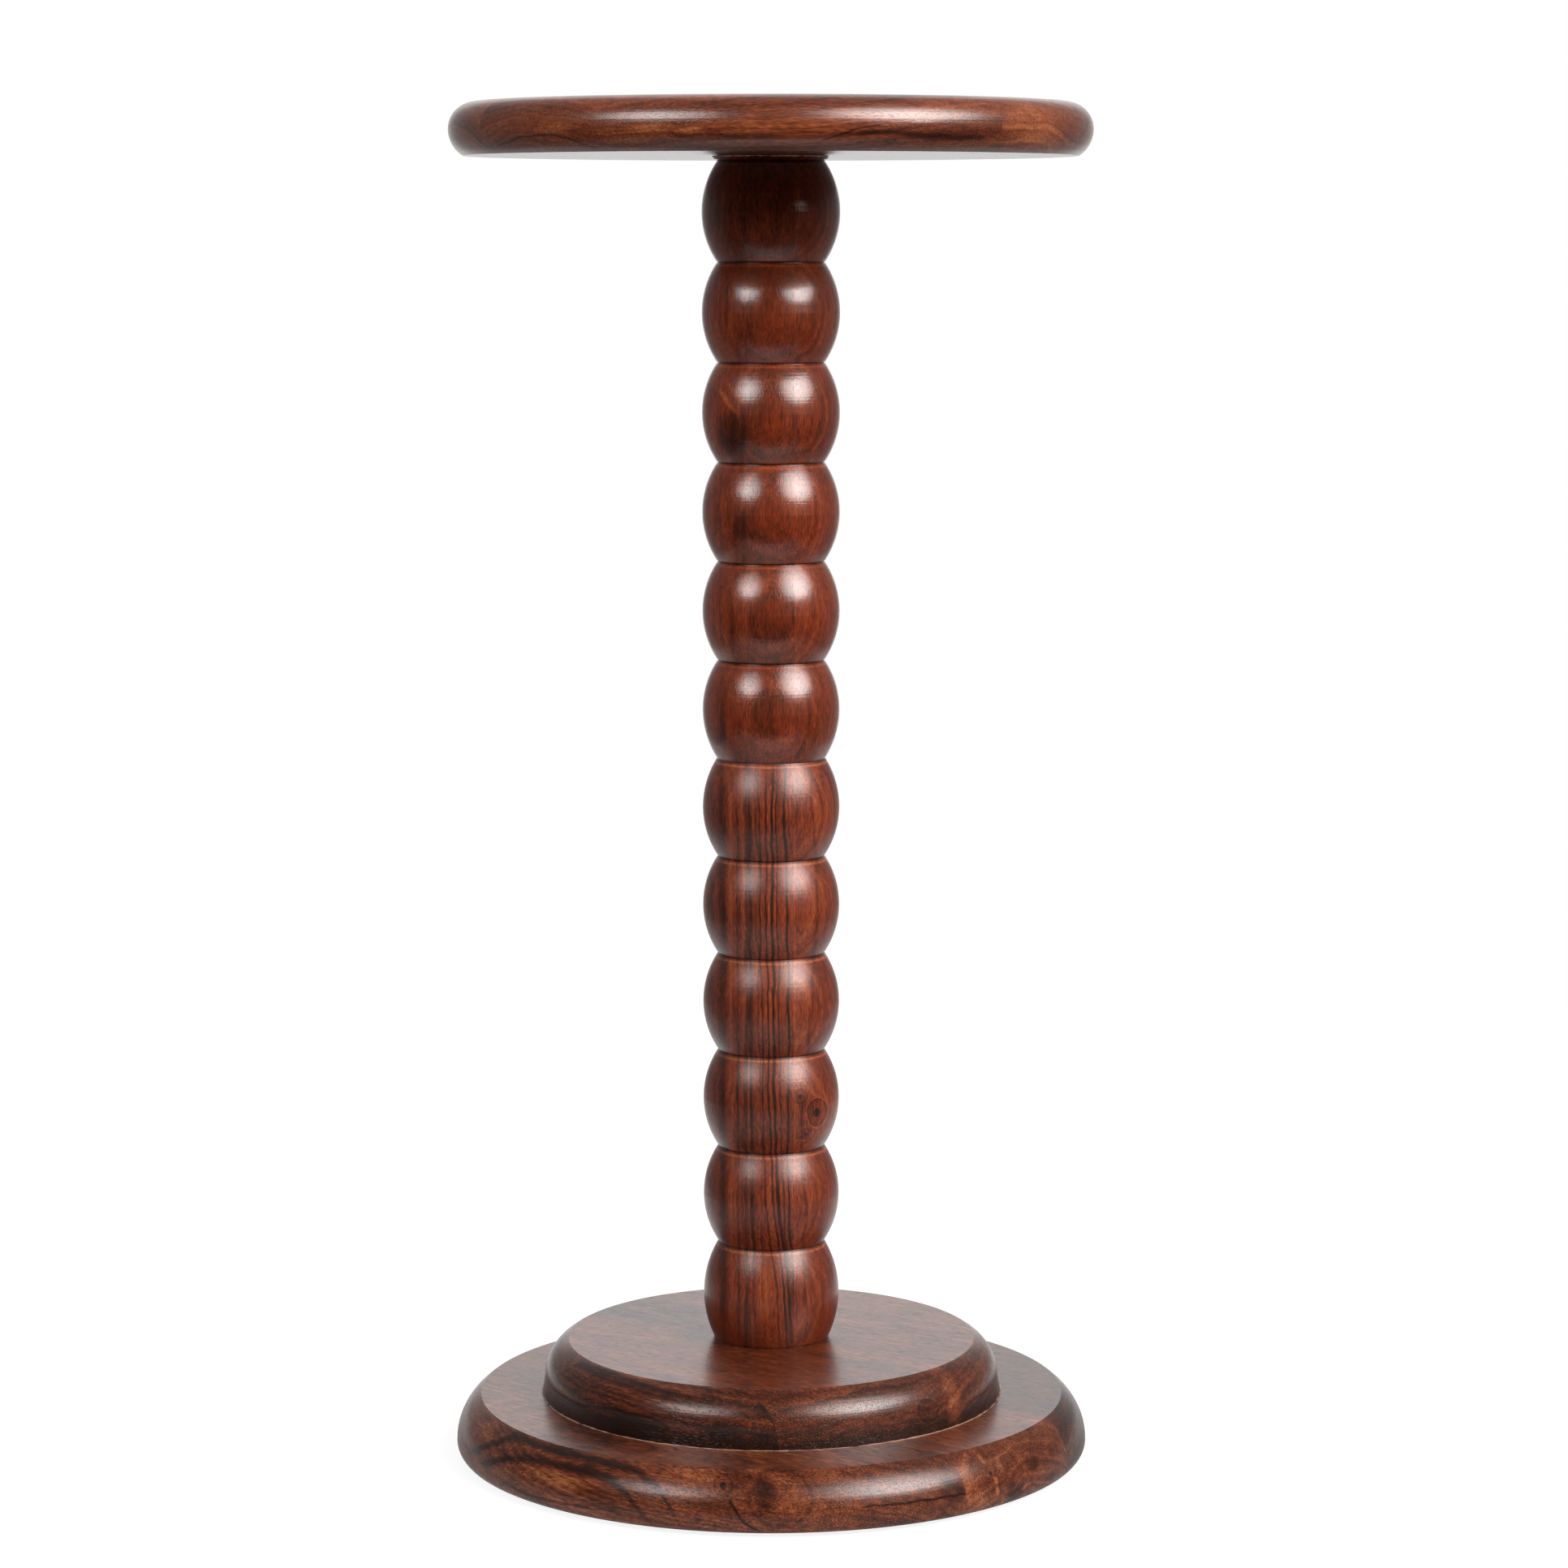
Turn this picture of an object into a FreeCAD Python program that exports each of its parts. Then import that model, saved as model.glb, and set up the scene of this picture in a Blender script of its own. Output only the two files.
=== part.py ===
# Round wooden side table: a bullnose top on a column of twelve turned beads,
# standing on a stepped foot of two discs. Every disc is turned from edge-glued
# boards and each half of the column from three face-glued boards, so each board
# is a solid of its own. The halves of the column meet at the middle groove.
# Millimetres, +Z up, origin on the floor under the column's axis.
import FreeCAD, Part
import math
import os
import Sketcher

# Driving sizes: alias, value, meaning
SIZES = [
    ("top_radius", "150", "outer radius of the table top"),
    ("top_thickness", "24.6", "thickness of the table top"),
    ("top_widest", "12.2", "height of the top's widest line above its underside"),
    ("top_upper_edge", "11.8", "width of the round between the top's flat and its rim"),
    ("top_lower_edge", "6.7", "width of the round between the rim and the underside"),
    ("top_inner_boards", "4", "full boards between the two outer boards of the top"),
    ("top_front_board", "30", "width of the top's front outer board at its widest"),
    ("top_back_board", "30", "width of the top's back outer board at its widest"),
    ("top_grain_angle", "6", "turn of the top's grain from X, in degrees"),
    ("upper_radius", "109", "radius of the upper tier where its round meets its wall"),
    ("upper_flare", "1.3", "how far the foot of the upper tier's wall stands out past that"),
    ("upper_thickness", "25.8", "thickness of the upper tier"),
    ("upper_wall", "7.8", "height of the upper tier's wall under its round"),
    ("upper_edge", "11.4", "width of the upper tier's round"),
    ("upper_inner_boards", "2", "full boards between the upper tier's outer boards"),
    ("upper_front_board", "22.3", "width of the upper tier's front outer board"),
    ("upper_back_board", "47", "width of the upper tier's back outer board"),
    ("lower_radius", "151.5", "outer radius of the lower tier"),
    ("lower_thickness", "26.8", "thickness of the lower tier"),
    ("lower_widest", "4.5", "height of the lower tier's widest line above its underside"),
    ("lower_edge", "11.7", "width of the lower tier's upper round"),
    ("lower_bottom_edge", "1.9", "width of the lower tier's bottom round"),
    ("lower_inner_boards", "2", "full boards between the lower tier's outer boards"),
    ("lower_front_board", "102.5", "width of the lower tier's front outer board"),
    ("lower_back_board", "38.5", "width of the lower tier's back outer board"),
    ("base_grain_angle", "-35", "turn of both tiers' grain from X, in degrees"),
    ("bead_pitch", "46.65", "height of one bead, groove to groove"),
    ("bead_radius", "32.4", "radius of a bead at its widest"),
    ("groove_depth", "7.3", "depth of a groove below a bead's widest line"),
    ("quirk_depth", "0.6", "depth of the small V that ends each bead"),
    ("quirk_rise", "0.7", "height of one side of that V"),
    ("joint_depth", "6.8", "depth of the groove at the middle joint"),
    ("half_beads", "6", "beads on each half of the column"),
    ("foot_depth", "5.2", "how far the lowest bead draws in where it stands on the tier"),
    ("foot_bead", "47.5", "height of the lowest bead"),
    ("foot_widest", "22.1", "height of the lowest bead's widest line"),
    ("collar_depth", "5.7", "how far the collar under the top stands back from a bead"),
    ("collar_height", "2.4", "height of the collar above its groove"),
    ("collar_bevel", "0.9", "height of the bevel below the collar"),
    ("column_board", "22", "thickness of the column's middle board"),
    ("stock_margin", "3", "how far rough boards stand proud of what is turned from them"),
    ("column_turn", "90", "turn of the column's boards from X, in degrees"),
    ("tenon_radius", "15", "radius of the turned tenon at each end of the column"),
    ("top_tenon", "15", "length of the tenon in the top"),
    ("foot_tenon", "18", "length of the tenon in the upper tier"),
    ("glue_gap", "0.1", "gap round a glued or driven fit"),
    ("end_gap", "0.8", "free depth at the end of a blind hole"),
    ("insert_radius", "8", "outer radius of a threaded insert"),
    ("insert_length", "22", "length of a threaded insert"),
    ("thread_gap", "0.05", "gap between a thread and its hole"),
    ("stud_radius", "5", "radius of the stud in the middle joint"),
    ("stud_inset", "2", "distance from a stud's or bolt's end to the insert's end"),
    ("stud_bevel", "1", "bevel at the ends of the stud and the bolt"),
    ("bolt_radius", "4", "radius of the bolt under the foot"),
    ("bolt_gap", "0.5", "gap round the bolt where it passes the tiers"),
    ("head_radius", "6.5", "radius of the bolt's head"),
    ("head_height", "8", "height of the bolt's head"),
    ("socket_radius", "3.4", "radius over the corners of the bolt's hexagon socket"),
    ("socket_depth", "4", "depth of that socket"),
    ("washer_radius", "10", "outer radius of the bolt's washer"),
    ("washer_thickness", "1.6", "thickness of the bolt's washer"),
    ("recess_gap", "2", "gap round the washer in its recess"),
    ("recess_depth", "11.5", "depth of the recess under the foot"),
    ("screw_inset", "31", "distance from a screw's middle to the upper tier's wall"),
    ("screw_angle", "16.4", "turn of the first screw from the grain, in degrees"),
    ("screw_radius", "2.25", "radius of a screw's shank"),
    ("screw_length", "42", "length of a screw"),
    ("screw_point", "5", "length of a screw's point"),
    ("screw_head", "4.5", "radius of a screw's countersunk head"),
    ("screw_head_height", "2.8", "height of that head"),
    ("drive_radius", "1.9", "radius over the corners of a screw's square drive"),
    ("drive_depth", "1.8", "depth of that drive"),
    ("pad_radius", "12", "radius of a felt pad"),
    ("pad_height", "2", "thickness of a felt pad"),
    ("pad_inset", "29.5", "distance from a pad's middle to the lower tier's widest line"),
    ("pad_angle", "45", "turn of the first pad from X, in degrees"),
]

# How one corner of an outline is joined to the next
LINE = "straight line"
SWELL = "arc that is upright at its upper end"
ROUND = "arc that is upright at its lower end"

FULL_TURN_ANGLE = 360
SCREWS = 4
PADS = 4
HEXAGON = 6
SQUARE = 4
VOLUME_TOLERANCE = 1e-6

doc = FreeCAD.newDocument("side_table")
sheet = doc.addObject("Spreadsheet::Sheet", "sizes")
for row, (alias, amount, meaning) in enumerate(SIZES, start=1):
    sheet.set(f"A{row}", meaning)
    sheet.set(f"B{row}", amount)
    sheet.setAlias(f"B{row}", alias)
doc.recompute()


def value(formula):
    """The number that a formula of the sheet's sizes gives."""
    return float(sheet.evalExpression(formula))


def count(alias):
    """A cell that counts pieces, as a whole number."""
    return int(round(value(f"sizes.{alias}")))


def origin_feature(body, role):
    """One of a body's own origin planes or axes."""
    for feature in body.Origin.OriginFeatures:
        if feature.Role == role:
            return feature
    raise RuntimeError(f"{body.Label} has no {role}")


def outline_edge(start, end, link):
    """A line, or an arc whose centre is level with its upright end."""
    if link == LINE:
        return Part.LineSegment(start, end)
    upright, other = (end, start) if link == SWELL else (start, end)
    width = upright.x - other.x
    rise = abs(upright.y - other.y)
    radius = (width * width + rise * rise) / (2 * width)
    centre = FreeCAD.Vector(upright.x - radius, upright.y, 0)
    circle = Part.Circle(centre, FreeCAD.Vector(0, 0, 1), radius)
    low = math.atan2(start.y - centre.y, start.x - centre.x)
    high = math.atan2(end.y - centre.y, end.x - centre.x)
    return Part.ArcOfCircle(circle, low, high)


def turned(name, corners):
    """Body turned about Z from corners (radius, height, link to the next)."""
    body = doc.addObject("PartDesign::Body", name)
    body.Label = name
    sketch = body.newObject("Sketcher::SketchObject", f"{name}_outline")
    sketch.AttachmentSupport = [(origin_feature(body, "XZ_Plane"), "")]
    sketch.MapMode = "FlatFace"
    points = [FreeCAD.Vector(value(r), value(z), 0) for r, z, _ in corners]
    last = len(corners) - 1
    for index, (_, _, link) in enumerate(corners):
        after = 0 if index == last else index + 1
        sketch.addGeometry(outline_edge(points[index], points[after], link), False)
    for index, (_, _, link) in enumerate(corners):
        after = 0 if index == last else index + 1
        sketch.addConstraint(Sketcher.Constraint("Coincident", index, 2, after, 1))
        if link == SWELL:
            sketch.addConstraint(Sketcher.Constraint("Horizontal", index, 3, index, 2))
        if link == ROUND:
            sketch.addConstraint(Sketcher.Constraint("Horizontal", index, 3, index, 1))
    for index, (radius, height, _) in enumerate(corners):
        place_corner(sketch, index, "DistanceX", radius, points[index].x, -2)
        place_corner(sketch, index, "DistanceY", height, points[index].y, -1)
    turn = body.newObject("PartDesign::Revolution", f"{name}_turning")
    turn.Profile = sketch
    turn.ReferenceAxis = (sketch, ["V_Axis"])
    turn.Angle = FULL_TURN_ANGLE
    doc.recompute()
    return body


def place_corner(sketch, index, direction, formula, distance, axis):
    """Ties a corner's distance from the origin to the sheet, or puts it on an axis."""
    if formula == "0":
        sketch.addConstraint(Sketcher.Constraint("PointOnObject", index, 1, axis))
        return
    number = sketch.addConstraint(Sketcher.Constraint(direction, -1, 1, index, 1, distance))
    name = f"{direction}_{index}"
    sketch.renameConstraint(number, name)
    sketch.setExpression(f"Constraints.{name}", formula)


def stand(piece, height, angle="0", reach="0"):
    """Puts a piece at a height, turned about Z, and out from the axis by reach."""
    piece.setExpression("Placement.Base.x", f"({reach}) * cos({angle})")
    piece.setExpression("Placement.Base.y", f"({reach}) * sin({angle})")
    piece.setExpression("Placement.Base.z", height)
    piece.setExpression("Placement.Rotation.Angle", angle)
    return piece


def boards(stem, blank, joints, radius, length, height, angle):
    """Splits a turned blank into boards at its glue joints, which lie along its X."""
    reach = f"({radius} + sizes.stock_margin)"
    edges = [f"-{reach}"] + joints + [reach]
    pieces = []
    for index, (low, high) in enumerate(zip(edges, edges[1:]), start=1):
        stock = doc.addObject("Part::Box", f"{stem}_stock_{index}")
        stock.setExpression("Length", f"2 * {reach}")
        stock.setExpression("Width", f"({high}) - ({low})")
        stock.setExpression("Height", f"{length} + 2 * sizes.stock_margin")
        stock.setExpression("Placement.Base.x", f"-{reach}")
        stock.setExpression("Placement.Base.y", low)
        stock.setExpression("Placement.Base.z", "-sizes.stock_margin")
        board = doc.addObject("Part::Common", f"{stem}_{index}")
        board.Label = f"{stem}_{index}"
        board.Base = blank
        board.Tool = stock
        pieces.append(stand(board, height, angle))
    doc.recompute()
    whole = sum(piece.Shape.Volume for piece in pieces)
    if abs(whole / blank.Shape.Volume - 1) > VOLUME_TOLERANCE:
        raise RuntimeError(f"{stem}: the boards don't fill the blank")
    return pieces


def board_joints(tier, radius):
    """Places of a disc's glue joints, from its front board to its back board."""
    inner = count(f"{tier}_inner_boards")
    front = f"sizes.{tier}_front_board"
    back = f"sizes.{tier}_back_board"
    width = f"(2 * ({radius}) - {front} - {back}) / sizes.{tier}_inner_boards"
    return [f"{front} - ({radius}) + {step} * {width}" for step in range(inner + 1)]


# Radii that follow the bead or the tier that they belong to
GROOVE = "sizes.bead_radius - sizes.groove_depth"
BEAD_END = f"{GROOVE} + sizes.quirk_depth"
JOINT = "sizes.bead_radius - sizes.joint_depth"
FOOT = "sizes.bead_radius - sizes.foot_depth"
COLLAR = "sizes.bead_radius - sizes.collar_depth"
UPPER_FOOT = "sizes.upper_radius + sizes.upper_flare"
PAD_CIRCLE = "sizes.lower_radius - sizes.pad_inset"
SCREW_CIRCLE = "(sizes.upper_radius - sizes.screw_inset)"

# Levels of the pieces above the floor
LOWER_LEVEL = "sizes.pad_height"
UPPER_LEVEL = f"{LOWER_LEVEL} + sizes.lower_thickness"
COLUMN_LEVEL = f"{UPPER_LEVEL} + sizes.upper_thickness"
LOWER_HALF_RISE = "sizes.foot_bead + (sizes.half_beads - 1) * sizes.bead_pitch"
JOINT_LEVEL = f"{COLUMN_LEVEL} + {LOWER_HALF_RISE}"
UPPER_HALF_RISE = "sizes.half_beads * sizes.bead_pitch + sizes.collar_height"
TOP_LEVEL = f"{JOINT_LEVEL} + {UPPER_HALF_RISE}"

# Holes and seats, from the pieces that they hold
MORTISE = "sizes.tenon_radius + sizes.glue_gap"
TOP_MORTISE = "sizes.top_tenon + sizes.end_gap"
FOOT_MORTISE = "sizes.upper_thickness - sizes.foot_tenon - sizes.end_gap"
INSERT_BORE = "sizes.insert_radius + sizes.glue_gap"
INSERT_DEPTH = "sizes.insert_length + sizes.end_gap"
BOLT_HOLE = "sizes.bolt_radius + sizes.bolt_gap"
RECESS = "sizes.washer_radius + sizes.recess_gap"
SCREW_HOLE = "sizes.screw_radius + sizes.thread_gap"
SCREW_REACH = "sizes.screw_length - sizes.lower_thickness"
SEAT_LEVEL = f"{LOWER_LEVEL} + sizes.recess_depth"
HEAD_LEVEL = f"{SEAT_LEVEL} - sizes.washer_thickness - sizes.head_height"
FOOT_INSERT_LEVEL = f"{COLUMN_LEVEL} - sizes.foot_tenon"


def groove(level):
    """The small V between two beads, whose bottom is at a level."""
    return [
        (BEAD_END, f"{level} - sizes.quirk_rise", LINE),
        (GROOVE, level, LINE),
        (BEAD_END, f"{level} + sizes.quirk_rise", SWELL),
    ]


def bead(low):
    """The widest line of a bead whose lower groove is at a level."""
    return [("sizes.bead_radius", f"{low} + sizes.bead_pitch / 2", ROUND)]


def column_upper_outline():
    """Upper half: joint face, six beads, collar, tenon, and the insert's bore."""
    beads = count("half_beads")
    corners = [(INSERT_BORE, "0", LINE), (JOINT, "0", SWELL)]
    for step in range(beads):
        corners += bead(f"{step} * sizes.bead_pitch")
        if step < beads - 1:
            corners += groove(f"{step + 1} * sizes.bead_pitch")
    neck = "sizes.half_beads * sizes.bead_pitch"
    shoulder = UPPER_HALF_RISE
    return corners + [
        (BEAD_END, f"{neck} - sizes.quirk_rise", LINE),
        (GROOVE, neck, LINE),
        (COLLAR, f"{neck} + sizes.collar_bevel", LINE),
        (COLLAR, shoulder, LINE),
        ("sizes.tenon_radius", shoulder, LINE),
        ("sizes.tenon_radius", f"{shoulder} + sizes.top_tenon", LINE),
        ("0", f"{shoulder} + sizes.top_tenon", LINE),
        ("0", INSERT_DEPTH, LINE),
        (INSERT_BORE, INSERT_DEPTH, LINE),
    ]


def column_lower_outline():
    """Lower half: tenon, tall foot bead, five beads, joint face and two bores."""
    foot = "sizes.foot_tenon"
    first = f"{foot} + sizes.foot_bead"
    face = f"{foot} + {LOWER_HALF_RISE}"
    corners = [
        (INSERT_BORE, "0", LINE),
        ("sizes.tenon_radius", "0", LINE),
        ("sizes.tenon_radius", foot, LINE),
        (FOOT, foot, SWELL),
        ("sizes.bead_radius", f"{foot} + sizes.foot_widest", ROUND),
    ]
    for step in range(count("half_beads") - 1):
        low = f"{first} + {step} * sizes.bead_pitch"
        corners += groove(low)
        corners += bead(low)
    return corners + [
        (JOINT, face, LINE),
        (INSERT_BORE, face, LINE),
        (INSERT_BORE, f"{face} - ({INSERT_DEPTH})", LINE),
        ("0", f"{face} - ({INSERT_DEPTH})", LINE),
        ("0", INSERT_DEPTH, LINE),
        (INSERT_BORE, INSERT_DEPTH, LINE),
    ]


def top_outline():
    """Bullnose disc with the column's mortise in its underside."""
    upper = "min(sizes.top_upper_edge; sizes.top_thickness - sizes.top_widest)"
    return [
        (MORTISE, "0", LINE),
        ("sizes.top_radius - sizes.top_lower_edge", "0", SWELL),
        ("sizes.top_radius", "sizes.top_widest", ROUND),
        (f"sizes.top_radius - {upper}", "sizes.top_thickness", LINE),
        ("0", "sizes.top_thickness", LINE),
        ("0", TOP_MORTISE, LINE),
        (MORTISE, TOP_MORTISE, LINE),
    ]


def upper_tier_outline():
    """Disc with a flared wall under a round edge, the mortise and the bolt's hole."""
    return [
        (BOLT_HOLE, "0", LINE),
        (UPPER_FOOT, "0", LINE),
        ("sizes.upper_radius", "sizes.upper_wall", ROUND),
        ("sizes.upper_radius - sizes.upper_edge", "sizes.upper_thickness", LINE),
        (MORTISE, "sizes.upper_thickness", LINE),
        (MORTISE, FOOT_MORTISE, LINE),
        (BOLT_HOLE, FOOT_MORTISE, LINE),
    ]


def lower_tier_outline():
    """Disc with a large round above and a small one below, and the bolt's recess."""
    return [
        (RECESS, "0", LINE),
        ("sizes.lower_radius - sizes.lower_bottom_edge", "0", SWELL),
        ("sizes.lower_radius", "sizes.lower_widest", ROUND),
        ("sizes.lower_radius - sizes.lower_edge", "sizes.lower_thickness", LINE),
        (BOLT_HOLE, "sizes.lower_thickness", LINE),
        (BOLT_HOLE, "sizes.recess_depth", LINE),
        (RECESS, "sizes.recess_depth", LINE),
    ]


def screw_holes(body, depth, countersunk):
    """Drills the circle of screw holes up from a tier's underside."""
    before = body.Shape.Volume
    drill = body.newObject("PartDesign::SubtractiveCylinder", f"{body.Name}_drill")
    drill.setExpression("Radius", SCREW_HOLE)
    drill.setExpression("Height", depth)
    cuts = [drill]
    if countersunk:
        sink = body.newObject("PartDesign::SubtractiveCone", f"{body.Name}_countersink")
        sink.setExpression("Radius1", "sizes.screw_head + sizes.thread_gap")
        sink.setExpression("Radius2", SCREW_HOLE)
        sink.setExpression("Height", "sizes.screw_head_height")
        cuts.append(sink)
    for cut in cuts:
        cut.setExpression("Placement.Base.x", f"{SCREW_CIRCLE} * cos(sizes.screw_angle)")
        cut.setExpression("Placement.Base.y", f"{SCREW_CIRCLE} * sin(sizes.screw_angle)")
    doc.recompute()
    ring = body.newObject("PartDesign::PolarPattern", f"{body.Name}_screw_ring")
    ring.Originals = cuts
    ring.Axis = (origin_feature(body, "Z_Axis"), [""])
    ring.Angle = FULL_TURN_ANGLE
    ring.Occurrences = SCREWS
    body.Tip = ring
    doc.recompute()
    drilled = (before - body.Shape.Volume) / SCREWS
    shank = math.pi * value(SCREW_HOLE) ** 2 * value(depth)
    if drilled < shank * (1 - VOLUME_TOLERANCE):
        raise RuntimeError(f"{body.Label}: the screw holes are not cut")


def insert(name, thread, level):
    """Threaded insert, a plain sleeve flush with the face that it is driven into."""
    bore = f"{thread} + sizes.thread_gap"
    sleeve = turned(name, [
        (bore, "0", LINE),
        ("sizes.insert_radius", "0", LINE),
        ("sizes.insert_radius", "sizes.insert_length", LINE),
        (bore, "sizes.insert_length", LINE),
    ])
    return stand(sleeve, level)


def joint_stud():
    """Threaded rod that screws the two halves of the column together."""
    length = "2 * (sizes.insert_length - sizes.stud_inset)"
    thin = "sizes.stud_radius - sizes.stud_bevel"
    rod = turned("joint_stud", [
        ("0", "0", LINE),
        (thin, "0", LINE),
        ("sizes.stud_radius", "sizes.stud_bevel", LINE),
        ("sizes.stud_radius", f"{length} - sizes.stud_bevel", LINE),
        (thin, length, LINE),
        ("0", length, LINE),
    ])
    return stand(rod, f"{JOINT_LEVEL} - ({length}) / 2")


def driven(name, shank, sides, radius, depth):
    """Cuts a socket with flat sides up into the head of a fastener."""
    socket = doc.addObject("Part::Prism", f"{name}_socket")
    socket.Polygon = sides
    socket.setExpression("Circumradius", radius)
    socket.setExpression("Height", depth)
    fastener = doc.addObject("Part::Cut", name)
    fastener.Label = name
    fastener.Base = shank
    fastener.Tool = socket
    return fastener


def foot_bolt():
    """Socket-head bolt that draws the column's foot down onto the tiers."""
    tip = f"{FOOT_INSERT_LEVEL} + sizes.insert_length - sizes.stud_inset"
    length = f"{tip} - ({HEAD_LEVEL})"
    shank = turned("foot_bolt_shank", [
        ("0", "0", LINE),
        ("sizes.head_radius", "0", LINE),
        ("sizes.head_radius", "sizes.head_height", LINE),
        ("sizes.bolt_radius", "sizes.head_height", LINE),
        ("sizes.bolt_radius", f"{length} - sizes.stud_bevel", LINE),
        ("sizes.bolt_radius - sizes.stud_bevel", length, LINE),
        ("0", length, LINE),
    ])
    bolt = driven("foot_bolt", shank, HEXAGON, "sizes.socket_radius", "sizes.socket_depth")
    return stand(bolt, HEAD_LEVEL)


def foot_washer():
    """Flat washer between the bolt's head and the seat of its recess."""
    washer = turned("foot_washer", [
        (BOLT_HOLE, "0", LINE),
        ("sizes.washer_radius", "0", LINE),
        ("sizes.washer_radius", "sizes.washer_thickness", LINE),
        (BOLT_HOLE, "sizes.washer_thickness", LINE),
    ])
    return stand(washer, f"{SEAT_LEVEL} - sizes.washer_thickness")


def tier_screws():
    """Countersunk wood screws, driven up through the lower tier into the upper."""
    pieces = []
    for step in range(SCREWS):
        name = f"tier_screw_{step + 1}"
        shank = turned(f"{name}_shank", [
            ("0", "0", LINE),
            ("sizes.screw_head", "0", LINE),
            ("sizes.screw_radius", "sizes.screw_head_height", LINE),
            ("sizes.screw_radius", "sizes.screw_length - sizes.screw_point", LINE),
            ("0", "sizes.screw_length", LINE),
        ])
        screw = driven(name, shank, SQUARE, "sizes.drive_radius", "sizes.drive_depth")
        turn = f"sizes.base_grain_angle + sizes.screw_angle + {step * FULL_TURN_ANGLE / SCREWS}"
        pieces.append(stand(screw, LOWER_LEVEL, turn, SCREW_CIRCLE))
    return pieces


def felt_pads():
    """Felt discs stuck under the lower tier, on which the table stands."""
    pieces = []
    for step in range(PADS):
        pad = doc.addObject("Part::Cylinder", f"felt_pad_{step + 1}")
        pad.Label = pad.Name
        pad.setExpression("Radius", "sizes.pad_radius")
        pad.setExpression("Height", "sizes.pad_height")
        turn = f"sizes.pad_angle + {step * FULL_TURN_ANGLE / PADS}"
        pieces.append(stand(pad, "0", turn, PAD_CIRCLE))
    return pieces


def disc_boards(stem, tier, blank, radius, height, angle):
    """Boards of one disc, split along its grain."""
    joints = board_joints(tier, radius)
    return boards(stem, blank, joints, radius, f"sizes.{tier}_thickness", height, angle)


def column_boards(stem, blank, length, height):
    """The three boards of one half of the column."""
    joints = ["-sizes.column_board / 2", "sizes.column_board / 2"]
    return boards(stem, blank, joints, "sizes.bead_radius", length, height, "sizes.column_turn")


pieces = []
top = turned("top_blank", top_outline())
pieces += disc_boards("top_board", "top", top, "sizes.top_radius", TOP_LEVEL,
                      "sizes.top_grain_angle")
upper_half = turned("column_upper_blank", column_upper_outline())
pieces += column_boards("column_upper_board", upper_half,
                        f"{UPPER_HALF_RISE} + sizes.top_tenon", JOINT_LEVEL)
lower_half = turned("column_lower_blank", column_lower_outline())
pieces += column_boards("column_lower_board", lower_half,
                        f"{LOWER_HALF_RISE} + sizes.foot_tenon", FOOT_INSERT_LEVEL)
upper_tier = turned("upper_tier_blank", upper_tier_outline())
screw_holes(upper_tier, f"{SCREW_REACH} + sizes.end_gap", False)
pieces += disc_boards("upper_tier_board", "upper", upper_tier, UPPER_FOOT,
                      UPPER_LEVEL, "sizes.base_grain_angle")
lower_tier = turned("lower_tier_blank", lower_tier_outline())
screw_holes(lower_tier, "sizes.lower_thickness", True)
pieces += disc_boards("lower_tier_board", "lower", lower_tier, "sizes.lower_radius",
                      LOWER_LEVEL, "sizes.base_grain_angle")
pieces.append(insert("joint_insert_upper", "sizes.stud_radius", JOINT_LEVEL))
pieces.append(insert("joint_insert_lower", "sizes.stud_radius",
                     f"{JOINT_LEVEL} - sizes.insert_length"))
pieces.append(joint_stud())
pieces.append(insert("foot_insert", "sizes.bolt_radius", FOOT_INSERT_LEVEL))
pieces.append(foot_bolt())
pieces.append(foot_washer())
pieces += tier_screws()
pieces += felt_pads()
doc.recompute()

for item in doc.Objects:
    if "Invalid" in item.State or "Error" in item.State:
        raise RuntimeError(f"{item.Label} failed: {item.State}")
for piece in pieces:
    shape = piece.Shape
    if shape.isNull() or not shape.isValid() or len(shape.Solids) != 1:
        raise RuntimeError(f"{piece.Label} is not one valid solid")

os.makedirs("parts", exist_ok=True)
for piece in pieces:
    piece.Shape.exportStep(f"parts/{piece.Label}.step")
    print(piece.Label, round(piece.Shape.Volume), "mm3")
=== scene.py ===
"""Dresses the round side table: figured hardwood boards under lacquer, lines of dried glue,
zinc and brass fastenings, felt pads, and a plain white studio."""
import math
from functools import partial

import bpy
import numpy as np
from bpy.props import FloatProperty, FloatVectorProperty, PointerProperty
from mathutils import Matrix, Vector


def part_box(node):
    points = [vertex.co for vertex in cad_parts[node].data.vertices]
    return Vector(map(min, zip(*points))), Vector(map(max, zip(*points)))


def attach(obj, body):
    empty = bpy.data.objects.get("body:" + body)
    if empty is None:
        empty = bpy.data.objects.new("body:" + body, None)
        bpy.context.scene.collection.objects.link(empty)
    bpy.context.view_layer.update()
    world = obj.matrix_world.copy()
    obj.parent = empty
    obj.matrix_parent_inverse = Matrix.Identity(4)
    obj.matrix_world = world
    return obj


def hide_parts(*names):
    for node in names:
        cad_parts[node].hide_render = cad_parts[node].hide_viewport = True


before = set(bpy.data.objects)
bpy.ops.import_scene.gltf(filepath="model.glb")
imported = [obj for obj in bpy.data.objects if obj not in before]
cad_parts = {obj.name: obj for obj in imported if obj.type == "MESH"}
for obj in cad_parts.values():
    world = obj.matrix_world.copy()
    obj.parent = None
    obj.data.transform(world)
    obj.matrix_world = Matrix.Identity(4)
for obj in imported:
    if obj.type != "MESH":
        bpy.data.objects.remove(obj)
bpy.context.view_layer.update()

bl_info = {
    "name": "Turned side table",
    "version": (1, 0, 0),
    "blender": (4, 5, 0),
    "location": "3D View > Sidebar > Side table",
    "description": "Finishes of a round wooden side table and its studio",
    "category": "Object",
}

MM = 0.001
PER_MM = 1000.0

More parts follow.
